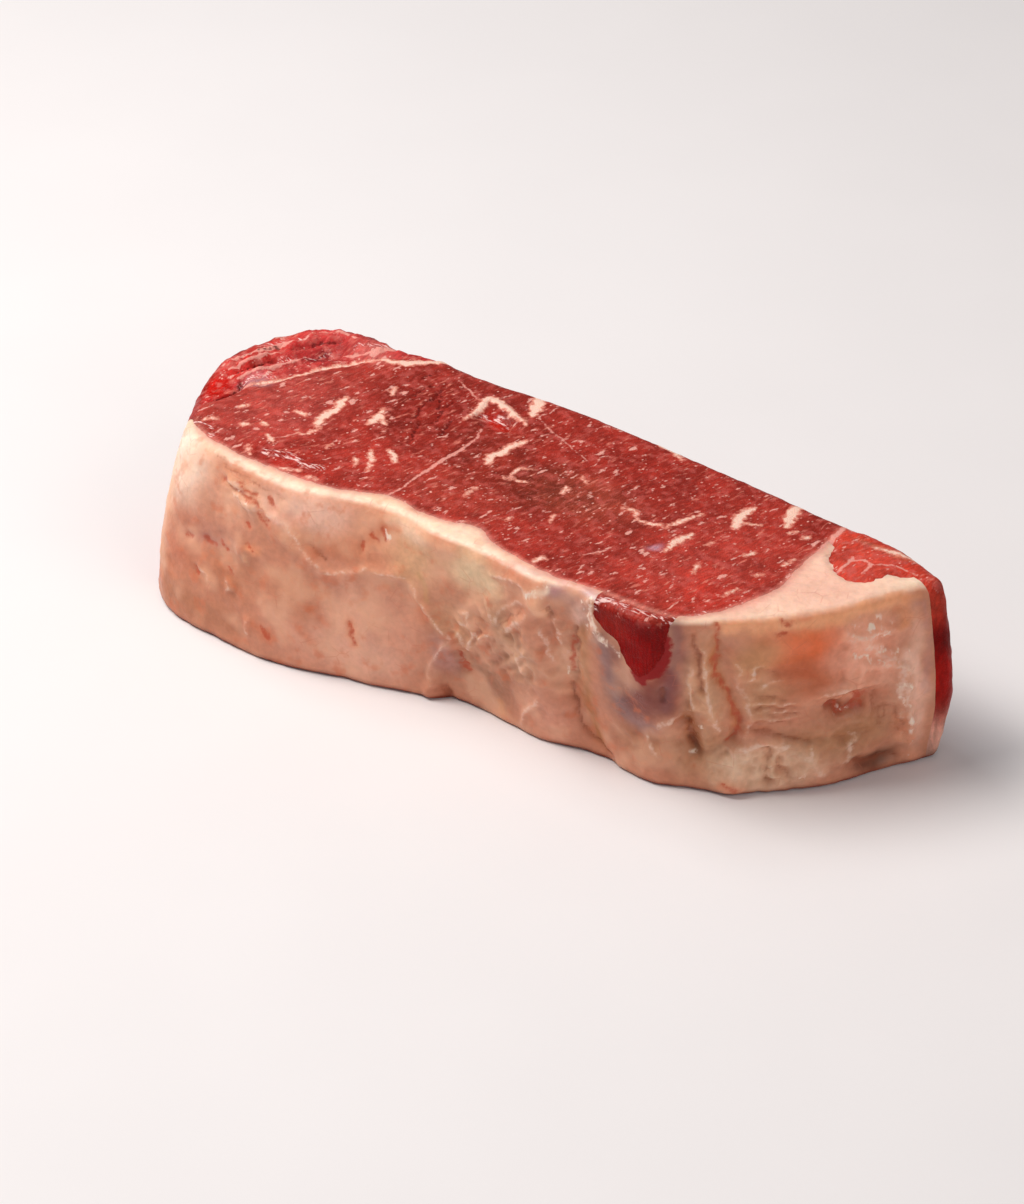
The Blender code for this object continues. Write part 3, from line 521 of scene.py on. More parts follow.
# The rest of what their shaders read, by socket
LEAN_SHADER = {
    "Subsurface Weight": 0.12, "Subsurface Radius": (1.0, 0.25, 0.15), "Subsurface Scale": 0.0012,
    "Specular IOR Level": 0.06, "Coat Weight": 0.05, "Coat Roughness": 0.08,
}
FAT_SHADER = {
    "Subsurface Weight": 0.25, "Subsurface Radius": (1.0, 0.5, 0.3), "Subsurface Scale": 0.0018,
    "Specular IOR Level": 0.18, "Coat Weight": 0.12, "Coat Roughness": 0.1,
}
DISPLAY_GAMMA = 2.2
PATCH_STEEPNESS = 1.5
RAGGED_SIZE = 1.1
LEAN_BUMP = 0.22
FIBRE_TURN = -0.2
WALL_GRAIN = 4.0
FAT_BUMP = 0.15
# The fat's mottling is weaker on the upper face and past this stretch of X
TOP_MOTTLE = 0.4
CALM_X = (50.0, 66.0)
CALM_SHARE = 0.7
FIELD_REACH = 4.0
# How far patches and marks waver from their plain shapes, and over what length
TINT_WAVER_LENGTH = 7.0
SIDE_WAVER = 1.6
TOP_WAVER = 2.5
MARK_WAVER = 0.35
MARK_WAVER_LENGTH = 1.6
SIDE_MARK_WAVER = 0.9
SIDE_MARK_WAVER_LENGTH = 2.4
WIDTH_WAVER = 0.4
WIDTH_WAVER_LENGTH = 1.7
# A line's width at its ends, as a share of its middle's
LINE_END_SHARE = 0.4
# Depths under the upper face where its tint, its cut fibres and its marks end
TOP_TINT_DEPTH = (1.4, 0.3)
SIDE_DEPTH = (0.1, 0.5)
CUT_DEPTH = (3.0, 0.5)
MARKS_DEPTH = 3.5

# Tints as display colours, with soft patches: (across, along or up, half sizes, colour, strength)
LEAN_TINTS = {"eye_muscle": (154, 50, 42), "tail_muscle": (190, 62, 48), "side_muscle": (184, 58, 58)}
LEAN_TOP_PATCHES = (
    (-68, -8, 14, 22, (178, 72, 66), 0.75),
    (-55, -26, 9, 3.4, (184, 42, 34), 0.6),
    (-42, -14, 13, 14, (170, 54, 46), 0.6),
    (-38, 15, 17, 14, (128, 38, 32), 0.7),
    (-12, -13, 14, 9, (188, 70, 58), 0.6),
    (0, 1, 22, 13, (112, 36, 26), 0.75),
    (-17, 9, 9, 10, (142, 50, 40), 0.6),
    (10, 22, 30, 12, (150, 46, 38), 0.6),
    (28, -14, 20, 12, (162, 54, 46), 0.5),
    (12, 3, 16, 9, (150, 72, 56), 0.5),
    (52, -4, 18, 22, (184, 66, 57), 0.65),
    (60, -12, 8, 6, (188, 54, 44), 0.5),
    (-88, -8, 5, 8, (198, 26, 14), 0.95),
    (-90, 10, 5, 12, (208, 60, 52), 0.6),
    (-78.4, 17.4, 2.8, 4.6, (104, 30, 38), 0.85),
    (-80, 26, 10, 5, (190, 66, 64), 0.6),
    (-81, -1.5, 3.4, 3.4, (196, 144, 152), 0.75),
    (-66, 24.6, 6, 3, (226, 124, 116), 0.5),
    (-25, 18.8, 4, 2.4, (214, 44, 32), 0.8),
    (37.8, -4, 1.1, 1.6, (196, 150, 170), 0.8),
    (82, 27, 8, 1.2, (196, 160, 130), 0.5),
    (80, 19, 9, 8, (206, 78, 66), 0.6),
)
LEAN_SIDE_TINT = (150, 34, 28)
LEAN_SIDE_PATCHES = (
    (50, 38, 14, 16, (138, 6, 0), 0.97),
    (14, 30, 15, 7, (186, 92, 84), 0.55),
    (-12, 14, 12, 8, (176, 78, 70), 0.5),
    (-46, 26, 9, 13, (190, 98, 92), 0.55),
    (-72, 14, 12, 6, (172, 72, 66), 0.5),
    (-92, 26, 6, 9, (188, 96, 88), 0.5),
    (72, 20, 9, 10, (182, 88, 80), 0.5),
    (30, 10, 12, 5, (132, 26, 22), 0.6),
    (95, 24, 5, 16, (160, 23, 14), 0.9),
    (44, 42, 5, 5, (150, 36, 26), 0.7),
    (95, 0, 6, 12, (232, 172, 152), 0.95),
    (95, 42, 4, 6, (206, 70, 52), 0.8),
    (95, 32, 4, 4, (116, 14, 10), 0.8),
    (95, 22, 4, 5, (176, 30, 24), 0.7),
)
LEAN_WET = (
    (-24, 18.5, 6, 3, 0.8), (-50, -25.4, 12, 2.4, 1.0), (50, -26.4, 13, 2.6, 1.0),
    (-79, 16, 6, 6, 0.9), (-81, -2, 5, 4, 0.9), (-88, -8, 5, 7, 0.8), (-76, -24, 5, 4, 0.9),
    (-22, -22, 3, 2, 0.4), (-66, 24, 8, 4, 0.6), (60, -18, 5, 6, 0.6), (-38, 26, 8, 4, 0.6),
)
# Bands where painted highlights show on the lean's wet ridges and edges: (points in plan, half width)
LEAN_PAINTED_GLINTS = (
    (((-57.6, -26.3), (-53.7, -25), (-50, -24.2), (-46.4, -25), (-42.6, -23.8)), 1.1),
    (((39.6, -28.6), (44, -27.6), (49.5, -27.3), (57, -26.2), (60, -23), (63, -18)), 0.7),
    (((-83, 11), (-79, 15), (-77, 19.4)), 1.6),
    (((-83.6, -3.8), (-81.8, 0.2), (-78.6, 2)), 0.9),
    (((-79.6, -25), (-76, -25), (-72, -28)), 0.6),
    (((-92, 12), (-89, 17), (-86, 20)), 0.7),
    (((-72, 24), (-68, 27), (-64, 29)), 0.7),
    (((-28.2, 18.3), (-25.4, 20), (-22.5, 19.4)), 1.2),
)
EDGE_LEAN = (216, 132, 120)
EDGE_FAT = (226, 150, 136)
# Of the lean and of the fat
EDGE_REACH = (0.8, 1.3)
EDGE_STRENGTH = 0.8
FAT_TOP_TINT = (250, 216, 192)
FAT_TOP_PATCHES = (
    (-22, -25, 14, 3, (248, 216, 186), 0.7),
    (76, 6, 15, 16, (246, 190, 172), 0.8),
    (67, -6, 4, 14, (238, 172, 158), 0.6),
    (36, -27.4, 7, 1.6, (196, 158, 162), 0.85),
    (22, -28.4, 10, 1.3, (222, 184, 176), 0.6),
)
FAT_SIDE_TINT = (208, 138, 110)
FAT_SIDE_PATCHES = (
    # The first three are cream fat partly lightened as a painted highlight, a peach band with a painted
    # highlight down the thick end's edge, and fat darker and more orange low on the thick end, partly painted
    # shade where it turns away from the light
    (-79, 41, 11, 9.5, (255, 234, 216), 0.95),
    (-84, 26, 5, 18, (255, 206, 164), 0.85),
    (-80, 10, 9, 12, (192, 116, 80), 0.85),
    (-60, 27, 11, 5, (188, 130, 112), 0.6),
    (-56, 19, 10, 8, (184, 110, 76), 0.65),
    (-71, 22, 6, 7, (188, 104, 78), 0.65),
    (-60, 35, 7, 4, (228, 168, 142), 0.6),
    (-40, 41, 14, 5, (254, 202, 180), 0.9),
    (-22, 38, 8, 5, (234, 160, 126), 0.7),
    (-28, 15, 19, 13, (230, 168, 144), 0.85),
    (-20, 7, 9, 6, (240, 184, 160), 0.6),
    (-28, 34, 7, 3.5, (204, 122, 88), 0.6),
    (-39, 20, 8, 7, (192, 114, 78), 0.6),
    (-66, 6, 14, 5, (176, 112, 80), 0.7),
    (-10, 37, 7, 7, (222, 172, 132), 0.8),
    (-13, 43, 6, 3, (254, 214, 184), 0.7),
    (7, 39, 9, 5.5, (236, 202, 164), 0.9),
    (1, 24, 8, 7, (198, 144, 110), 0.7),
    (6, 9, 11, 8, (148, 102, 78), 0.75),
    (-3, 13, 3.4, 5, (184, 130, 122), 0.7),
    (25, 7, 7, 8, (216, 148, 124), 0.8),
    (18, 22, 7, 8, (178, 136, 108), 0.7),
    (14, 30, 6, 5, (190, 142, 110), 0.6),
    (33, 26, 3, 12, (198, 146, 116), 0.6),
    (35.4, 40, 3.6, 5, (214, 166, 150), 0.8),
    (30.5, 44.2, 3, 2.4, (180, 136, 140), 0.8),
    (46, 22, 6, 9, (124, 80, 76), 0.8),
    (53, 23, 6, 6, (124, 54, 46), 0.9),
    (59, 33, 2.6, 11, (142, 56, 50), 0.85),
    (52, 10, 10, 5, (168, 110, 80), 0.8),
    (42.8, 34, 3.4, 5, (146, 94, 78), 0.85),
    (64.4, 28, 3.6, 14, (212, 158, 122), 0.75),
    (64, 10, 7, 8, (184, 128, 94), 0.85),
    (79, 39, 6, 6, (246, 112, 60), 0.9),
    (73.4, 36, 3.8, 5.5, (204, 146, 102), 0.75),
    (80.4, 30, 4.6, 6, (192, 92, 52), 0.85),
    (74, 26, 4, 6, (210, 156, 116), 0.6),
    (87, 34, 4, 9, (254, 174, 146), 0.8),
    (84, 13, 7, 6, (176, 120, 84), 0.85),
    (74, 7, 8, 6, (240, 200, 168), 0.8),
    # Painted shade: the pit low down near the tail end is painted dark
    (88.8, 2.8, 2.6, 2.8, (96, 46, 28), 0.95),
    (92.7, 24, 1.3, 18, (242, 184, 160), 0.85),
)
# The foot is painted dark red-brown up to these heights: painted contact shade where the steak meets the
# floor
FOOT_PAINTED_SHADE = (140, 58, 36)
FOOT_HEIGHT = (1.7, 0.5)
FAT_WET = (
    (88.6, 37, 4, 5, 1.0), (85, 21.6, 3, 4, 0.8), (63, 18, 5, 5, 0.8), (25.6, 41, 3, 3, 1.0),
    (39, 40, 3, 6, 1.0), (91, 20, 1.6, 18, 0.7), (-57, 40, 6, 3, 0.7), (-8, 12, 5, 8, 0.3),
    (20, 32, 6, 6, 0.4), (48, 20, 8, 8, 0.5), (76, 10, 5, 5, 0.4), (-70, 24, 5, 3, 0.3),
)
# Bands where painted highlights show on the fat's wet edges, folds and ridges: (points as x and height, half
# width)
FAT_PAINTED_GLINTS = (
    (((38.6, 45.6), (38.6, 41), (40, 37), (43, 35.4), (46, 35), (47.4, 33.4)), 1.1),
    (((36.6, 44), (37.4, 38), (39, 34)), 0.6),
    (((30, 33), (30.8, 27), (31.8, 20)), 0.3),
    (((86, 33.6), (88.6, 30.8)), 0.9),
    (((91, 27), (91.2, 19), (92, 10), (92.6, 3)), 0.45),
    (((84, 20.4), (85, 19)), 0.7),
    (((79.8, 5), (81, 3)), 0.5),
    (((60.6, 9.8), (63.4, 10)), 0.5),
    (((-80, 44), (-76, 42)), 0.7),
    (((-19.4, 40.6), (-18, 39)), 0.4),
    (((23.2, 41.6), (25.8, 42.6), (27.6, 44)), 1.0),
    (((87, 40.4), (88.6, 38)), 1.8),
    (((89, 34), (91, 31.6)), 1.0),
    (((60.4, 19.4), (62, 19.8), (63.8, 17.4)), 0.5),
    (((-57, 40.4), (-52.4, 39.2)), 0.4),
)

# Patterns: (size of the noise in mm, detail, stretch each way and turn), then (from, to, least, most)
LEAN_PATTERNS = {
    "streaks": ((1.5, 4.0, (0.55, 2.1, 1.0, FIBRE_TURN)), (0.55, 0.72)),
    "streak_patches": ((5.0,), (0.36, 0.62, 0.1, 0.8)),
    "speck_patches": ((2.2,), (0.46, 0.66, 0.0, 0.9)),
    "large_specks": ((2.4, 4.0, (0.7, 1.5, 1.0, FIBRE_TURN)), (0.62, 0.7, 0.0, 0.75)),
    "bloom": ((2.4, 3.0), (0.48, 0.68)),
    "painted_glints": ((0.8, 2.0, (3.0, 0.7, 1.0)), (0.5, 0.64, 0.0, 0.85)),
    "mottle": ((7.0, 5.0), (0.28, 0.72, 0.76, 1.24)),
    "roughness": ((2.2,), (0.3, 0.7, 0.42, 0.58)),
}
FAT_PATTERNS = {
    "pale_patches": ((2.4,), (0.36, 0.62, 0.15, 1.0)),
    "flush": ((4.0, 3.0), (0.54, 0.72, 0.0, 0.5)),
    "cloud": ((9.0, 1.5), (0.44, 0.7, 0.0, 0.55)),
    "vein_patches": ((6.0,), (0.5, 0.66)),
    "painted_glints": ((1.6, 3.0, (1.0, 1.0, 1.5)), (0.53, 0.68, 0.0, 0.8)),
    "mottle": ((7.0, 3.0), (0.3, 0.7, 0.94, 1.05)),
    "fine_mottle": ((1.3, 3.0), (0.3, 0.7, 0.95, 1.05)),
    "roughness": ((3.0,), (0.3, 0.7, 0.36, 0.5)),
}
FLOOR_PATTERNS = {"tone": ((60.0,), (0.3, 0.7, 0.985, 1.0))}
LEAN_GRAIN = (0.8, 3.0, (0.6, 2.2, WALL_GRAIN, FIBRE_TURN))
GRAIN_TONE = (0.25, 0.78, 0.76, 1.22)
SPECK_CELLS = (1.3, (0.85, 1.2, 1.0, FIBRE_TURN))
SPECK_RANGE = (0.28, 0.1)
VEIN_CELLS = (5.0, (1.0, 1.3, 0.8), "DISTANCE_TO_EDGE")
VEIN_RANGE = (0.04, 0.0, 0.0, 0.3)
# Where the painted highlights fade in along their bands' field
PAINTED_GLINT_RANGE = (0.15, 0.7)
# Where each mark begins and is full, in mm from its edge, with its shares there
LEAN_MARK_RANGES = {
    "seams": (0.25, -0.15, 0.0, 0.85), "creases": (0.3, -0.2, 0.0, 0.7),
    "marbling": (0.65, -0.1, 0.0, 0.85), "marbling_core": (0.1, -0.6, 0.0, 0.95),
}
FAT_MARK_RANGES = {
    "pale_marks": (0.45, -0.35, 0.0, 0.55), "red_marks": (0.6, -0.3, 0.0, 0.8),
    "shaded_creases": (0.45, -0.45, 0.0, 0.6), "bare": (0.5, -0.5),
}
# The detail and the strength of the noise that roughens their edges
LEAN_RAGGED = (4.0, 2.4)
FAT_RAGGED = (3.0, 1.4)
SEAM_RAGGEDNESS = 0.4
# How high each thing stands in the fine relief, and the noise behind some: (size in mm, detail)
LEAN_RELIEF = {"grain": 0.6, "fibres": 1.0, "marbling": 0.4, "streaks": 0.3}
FAT_RELIEF = {"waves": 1.0, "pores": 0.4, "pale_marks": 0.5, "shaded_creases": -0.8}
LEAN_FIBRES = (0.35, 1.0)
FAT_WAVES = (2.6, 3.0)
FAT_PORES = (0.7, 2.0)
FLOOR_GRAIN = (2.0,)
FLOOR_BUMP = 0.02
# How much smoother a wet place is
LEAN_WET_SHINE = 0.3
FAT_WET_SHINE = 0.28

# The floor, lights and camera
FLOOR_COLOUR = (235, 233, 238)
FLOOR_ROUGHNESS = 0.8
FLOOR_HALF = 3.0
WORLD_COLOUR = (1.0, 0.97, 0.94)
WORLD_STRENGTH = 0.2
# (azimuth, elevation, distance and size in metres, power in watts, colour)
LIGHTS = {
    "key_light": (-62, 58, 1.0, 0.5, 9.0, (1.0, 0.95, 0.88)),
    "fill_light": (78, 34, 1.2, 0.8, 3.0, (1.0, 0.95, 0.9)),
    "back_light": (258, 56, 1.2, 0.3, 2.0, (1.0, 0.97, 0.93)),
}
CAMERA_HEADING = 38.03
CAMERA_TILT = 33.0
CAMERA_PLACE = (508.32, -656.78, 553.72)
SENSOR = 36.0
LENS = 127.54
CLIP_START = 0.01


def evenly_spaced(path, spacing, closed=False):
    """Points at an even spacing along straight stretches. A closed path ends where it starts."""
    travelled = np.concatenate([[0], np.cumsum(np.linalg.norm(np.diff(path, axis=0), axis=1))])
    steps = max(3, round(travelled[-1] / spacing))
    wanted = np.linspace(0, travelled[-1], steps + 1)[:steps if closed else None]
    return np.stack([np.interp(wanted, travelled, path[:, axis]) for axis in (0, 1)], axis=1)


def smooth_path(points, spacing, closed=False):
    """Points at an even spacing along a rounded curve through the given ones."""
    points = np.array(points, float)
    count = len(points)
    samples = []
    for index in range(count if closed else count - 1):
        if closed:
            before, start, end, after = (points[(index + step) % count] for step in (-1, 0, 1, 2))
        else:
            start, end = points[index], points[index + 1]
            before = points[index - 1] if index else 2 * start - end
            after = points[index + 2] if index + 2 < count else 2 * end - start
        for t in np.linspace(0, 1, CURVE_STEPS, endpoint=False):
            samples.append(0.5 * (2 * start + (end - before) * t
                                  + (2 * before - 5 * start + 4 * end - after) * t ** 2
                                  + (3 * start - before - 3 * end + after) * t ** 3))
    samples.append(points[0] if closed else points[-1])
    return evenly_spaced(np.array(samples), spacing, closed)


def smooth_values(knots, x):
    """A rounded curve through (x, value) knots, read at x."""
    places, values = np.array(knots).T
    fine = np.linspace(places[0], places[-1], VALUE_SAMPLES)
    straight = np.interp(fine, places, values)
    kernel = np.hanning(2 * VALUE_BLUR + 1)
    rounded = np.convolve(np.pad(straight, VALUE_BLUR, mode="edge"), kernel / kernel.sum(), "valid")
    return np.interp(x, fine, rounded)


def smooth_step(low, high, value):
    t = np.clip((value - low) / (high - low), 0, 1)
    return t * t * (3 - 2 * t)


def bell(away, width):
    """1 at no distance, and falling off smoothly over the width."""
    return np.exp(-(away / width) ** 2)


def distance_to_stretch(start, end, points):
    """How far each 2-D point lies from the straight stretch between two points."""
    along = end - start
    t = np.clip((points - start) @ along / (along @ along), 0, 1)
    return np.linalg.norm(points - start - t[:, None] * along, axis=1)


def distance_to_line(line, points):
    """How far each 2-D point lies from a line of straight stretches."""
    line = np.array(line, float)
    nearest = np.full(len(points), np.inf)
    for start, end in zip(line[:-1], line[1:]):
        nearest = np.minimum(nearest, distance_to_stretch(start, end, points))
    return nearest


def near_path(path, places, reach):
    """The numbers of the places that lie within reach of a path's box."""
    within = (places > path.min(axis=0) - reach) & (places < path.max(axis=0) + reach)
    return np.all(within, axis=1).nonzero()[0]


def lumps(points, size, seed=0):
    """Smooth noise of about -1 to 1 over 2-D or 3-D points, with lumps of that size."""
    spots = np.zeros((len(points), 3))
    spots[:, :points.shape[1]] = points / size
    spots += np.multiply(SEED_STEP, seed)
    return np.array([noise.noise(spot) for spot in spots.tolist()])


def wavers(points, size, seeds):
    """Smooth noise over the points for each seed, side by side."""
    return np.column_stack([lumps(points, size, seed) for seed in seeds])


def plan_normals(loop):
    """Outward normals of an anticlockwise loop in plan."""
    along = np.roll(loop, -1, axis=0) - np.roll(loop, 1, axis=0)
    normals = np.stack([along[:, 1], -along[:, 0]], axis=1)
    return normals / np.linalg.norm(normals, axis=1)[:, None]


def near_share(points, normals):
    """1 on the near side and the fat's end of the outline, 0 on the rest."""
    return smooth_step(*NEAR_FACING, normals[:, 1]) * smooth_step(*NEAR_END_Y, points[:, 1])


def rim_rounding(points, normals):
    near = near_share(points, normals)
    side_muscle = smooth_step(*SIDE_MUSCLE_X, points[:, 0]) * smooth_step(*SIDE_MUSCLE_Y, points[:, 1])
    far = FAR_ROUNDING + side_muscle * (SIDE_MUSCLE_ROUNDING - FAR_ROUNDING)
    return near * smooth_values(NEAR_ROUNDING, points[:, 0]) + (1 - near) * far


FINE_OUTLINE = smooth_path(FAT_RIM + TAIL_END + FAR_SIDE + THICK_END, FINE_SPACING, closed=True)
FINE_NORMALS = plan_normals(FINE_OUTLINE)


def outline():
    """The upper face's outline, with closer points on the near side."""
    tail = np.argmin(np.linalg.norm(FINE_OUTLINE - TAIL_END[-1], axis=1))
    near = evenly_spaced(FINE_OUTLINE[:tail + 1], NEAR_SPACING)
    far = evenly_spaced(np.vstack([FINE_OUTLINE[tail:], FINE_OUTLINE[:1]]), FAR_SPACING)
    return np.vstack([near[:-1], far[:-1]])


def inside(loop, points):
    """Whether each 2-D point lies inside a closed loop."""
    found = np.zeros(len(points), bool)
    x, y = points.T
    for (ax, ay), (bx, by) in zip(loop, np.roll(loop, -1, axis=0)):
        crosses = (ay > y) != (by > y)
        rise = by - ay if by != ay else 1.0
        found ^= crosses & (x < ax + (y - ay) * (bx - ax) / rise)
    return found


def nearest(targets, points):
    """For each 2-D point: the number of the nearest target, and how far it is."""
    tree = kdtree.KDTree(len(targets))
    for index, (x, y) in enumerate(targets.tolist()):
        tree.insert((x, y, 0), index)
    tree.balance()
    found = [tree.find((x, y, 0)) for x, y in points.tolist()]
    return np.array([index for _, index, _ in found]), np.array([away for _, _, away in found])


def edge_places(points):
    """For each 2-D point: the nearest place on the outline, its normal and how far it is."""
    index, _ = nearest(FINE_OUTLINE, points)
    after = (index + 1) % len(FINE_OUTLINE)
    start, end = FINE_OUTLINE[index - 1], FINE_OUTLINE[after]
    along = end - start
    t = np.clip(((points - start) * along).sum(axis=1) / (along ** 2).sum(axis=1), 0, 1)[:, None]
    place = start + t * along
    normal = (1 - t) * FINE_NORMALS[index - 1] + t * FINE_NORMALS[after]
    normal /= np.linalg.norm(normal, axis=1)[:, None]
    return place, normal, np.linalg.norm(points - place, axis=1)


def scattered_inside(loop, spacing):
    """Points in staggered rows inside a loop, clear of its edge."""
    low, high = loop.min(axis=0), loop.max(axis=0)
    rows = np.arange(low[1], high[1], spacing * math.sqrt(3) / 2)
    columns = np.arange(low[0], high[0], spacing)
    grid = np.array([(column + spacing / 2 * (row_index % 2), row)
                     for row_index, row in enumerate(rows) for column in columns])
    grid = grid[inside(loop, grid)]
    return grid[nearest(loop, grid)[1] > EDGE_CLEARANCE * spacing]


def cap_faces(loop, extra):
    """Triangles that fill a loop through the extra points, anticlockwise, numbered loop first."""
    points = [Vector(point) for point in np.vstack([loop, extra])]
    edges = [(index, (index + 1) % len(loop)) for index in range(len(loop))]
    _, _, faces, _, _, _ = geometry.delaunay_2d_cdt(points, edges, [], 1, SAME_POINT)
    turned = []
    for face in faces:
        a, b, c = (points[index] for index in face)
        anticlockwise = (b - a).cross(c - a) > 0
        turned.append(tuple(face) if anticlockwise else tuple(reversed(face)))
    return turned


def ring_faces(rings, count):
    """Quads between rings of count points each, numbered ring by ring from the bottom."""
    return [(ring * count + index, ring * count + (index + 1) % count,
             (ring + 1) * count + (index + 1) % count, (ring + 1) * count + index)
            for ring in range(rings - 1) for index in range(count)]


def new_mesh(name, points, faces):
    mesh = bpy.data.meshes.new(name)
    mesh.from_pydata(points.tolist(), [], faces)
    builder = bmesh.new()
    builder.from_mesh(mesh)
    bmesh.ops.recalc_face_normals(builder, faces=builder.faces)
    builder.to_mesh(mesh)
    builder.free()
    return mesh


def eased(values, reach):
    """Values round a closed loop, each averaged with its neighbours."""
    kernel = np.hanning(2 * reach + 1)
    return np.convolve(np.pad(values, reach, mode="wrap"), kernel / kernel.sum(), "valid")


def corner_limit(loop, normals):
    """The most that each place of a loop can move inwards before its corner folds over."""
    before, after = np.roll(normals, 1, axis=0), np.roll(normals, -1, axis=0)
    length = np.linalg.norm(np.roll(loop, -1, axis=0) - np.roll(loop, 1, axis=0), axis=1)
    turn = (before[:, 0] * after[:, 1] - before[:, 1] * after[:, 0]) / length
    tightest = np.max([np.roll(turn, shift) for shift in range(-CORNER_REACH, CORNER_REACH + 1)], axis=0)
    return eased(CORNER_SHARE / np.maximum(tightest, LEAST_TURN), CORNER_REACH)


def block_mesh():
    """The whole steak as one plain block with rounded edges, before it is parted or bent."""
    loop = outline()
    normals = plan_normals(loop)
    limit = corner_limit(loop, normals)
    rounding = np.minimum(rim_rounding(loop, normals), limit)
    foot = np.minimum(FOOT_RADIUS, limit)
    rings = []
    for turn in np.linspace(0, math.pi / 2, FOOT_STEPS + 1):
        inset, height = foot * (1 - math.sin(turn)), np.full(len(loop), FOOT_RADIUS * (1 - math.cos(turn)))
        rings.append(np.column_stack([loop - normals * inset[:, None], height]))
    rows = round((THICKNESS - SIDE_MUSCLE_ROUNDING - FOOT_RADIUS) / ROW_SPACING)
    for share in np.linspace(0, 1, rows + 1)[1:-1]:
        height = FOOT_RADIUS + share * (THICKNESS - rounding - FOOT_RADIUS)
        rings.append(np.column_stack([loop, height]))
    for turn in np.linspace(0, math.pi / 2, ROUNDING_STEPS + 1):
        inset = rounding * (1 - math.cos(turn))
        height = THICKNESS - rounding * (1 - math.sin(turn))
        rings.append(np.column_stack([loop - normals * inset[:, None], height]))
    top_loop, bottom_loop = rings[-1][:, :2], rings[0][:, :2]
    top_extra = scattered_inside(top_loop, TOP_SPACING)
    bottom_extra = scattered_inside(bottom_loop, BOTTOM_SPACING)
    points = rings + [np.column_stack([top_extra, np.full(len(top_extra), THICKNESS)]),
                      np.column_stack([bottom_extra, np.zeros(len(bottom_extra))])]

    count = len(loop)
    faces = ring_faces(len(rings), count)
    top_first = (len(rings) - 1) * count
    faces += [tuple(top_first + index for index in face) for face in cap_faces(top_loop, top_extra)]
    bottom_extra_first = top_first + count + len(top_extra)
    for face in cap_faces(bottom_loop, bottom_extra):
        numbers = [index if index < count else bottom_extra_first + index - count for index in face]
        faces.append(tuple(reversed(numbers)))
    return new_mesh("steak_block", np.vstack(points), faces)


def prism_mesh(name, rings):
    """A closed mesh through rings of points."""
    count = len(rings[0])
    faces = ring_faces(len(rings), count)
    faces.append(tuple(reversed(range(count))))
    faces.append(tuple((len(rings) - 1) * count + index for index in range(count)))
    return new_mesh(name, np.vstack(rings), faces)


def region_mesh(name, loop):
    """An upright cutter over a loop in plan."""
    heights = np.arange(-SEAM_OVERRUN, THICKNESS + SEAM_OVERRUN + 1, CUTTER_ROW_SPACING)
    return prism_mesh(name, [np.column_stack([loop, np.full(len(loop), height)]) for height in heights])


def seam_path(seam, wobble=SEAM_WOBBLE):
    """A seam in plan, wavering a little as grown tissue does."""
    path = smooth_path(seam, SEAM_SPACING)
    along = np.gradient(path, axis=0)
    normals = np.stack([along[:, 1], -along[:, 0]], axis=1)
    normals /= np.linalg.norm(normals, axis=1)[:, None]
    waver = sum(share * lumps(path, length, seed) for seed, (length, share) in enumerate(SEAM_WAVES, 1))
    return path + normals * (wobble * waver)[:, None]


def bare_patch_mesh():
    """A cutter through the near side over the bare patch."""
    loop = smooth_path(BARE_PATCH, SEAM_SPACING, closed=True)
    loop = loop + plan_normals(loop) * (SEAM_WOBBLE * lumps(loop, PATCH_WAVE_LENGTH, PATCH_SEED))[:, None]
    return prism_mesh("patch_cutter", [np.column_stack([loop[:, 0], np.full(len(loop), y), loop[:, 1]])
                                       for y in BARE_PATCH_DEPTH])


def add_object(name, mesh):
    made = bpy.data.objects.new(name, mesh)
    bpy.context.scene.collection.objects.link(made)
    return made


def cut(piece, operation, cutter):
    modifier = piece.modifiers.new(operation.lower() + "_" + cutter.name, "BOOLEAN")
    modifier.operation = operation
    modifier.object = cutter
    modifier.solver = "MANIFOLD"


def parted_meshes():
    """The plain block parted by its seams, as a mesh for each piece."""
    block = block_mesh()
    eye_loop = np.vstack([seam_path(NEAR_SEAM), seam_path(SIDE_SEAM)])
    tail_loop = np.vstack([seam_path(TAIL_SEAM, TAIL_WOBBLE)[::-1], TAIL_REGION_CORNERS])
    eye, patch, tail, side = (add_object(mesh.name, mesh) for mesh in (
        region_mesh("eye_cutter", eye_loop), bare_patch_mesh(),
        region_mesh("tail_cutter", tail_loop),
        region_mesh("side_cutter", np.array(SIDE_REGION_CORNERS))))
    cut(eye, "UNION", patch)
    steps = {
        "eye_muscle": (("INTERSECT", eye),),
        "tail_muscle": (("INTERSECT", tail), ("DIFFERENCE", eye)),
        "side_muscle": (("INTERSECT", side), ("DIFFERENCE", eye)),
        "fat_cap": (("DIFFERENCE", side), ("DIFFERENCE", tail), ("DIFFERENCE", eye)),
    }
    pieces = {name: add_object(name + "_plain", block) for name in steps}
    for name, cuts in steps.items():
        for operation, cutter in cuts:
            cut(pieces[name], operation, cutter)
    graph = bpy.context.evaluated_depsgraph_get()
    meshes = {name: bpy.data.meshes.new_from_object(piece.evaluated_get(graph))
              for name, piece in pieces.items()}
    for used in (*pieces.values(), eye, patch, tail, side):
        bpy.data.objects.remove(used)
    return meshes


def near_marks(marks, places):
    """For each mark: the places near its line, how far they lie from it, and its width and other values."""
    for line, half_width, *rest in marks:
        path = smooth_path(line, MARK_SPACING)
        close = near_path(path, places, MARK_REACH * max(half_width, 1))
        if len(close):
            yield close, distance_to_line(path, places[close]), half_width, rest


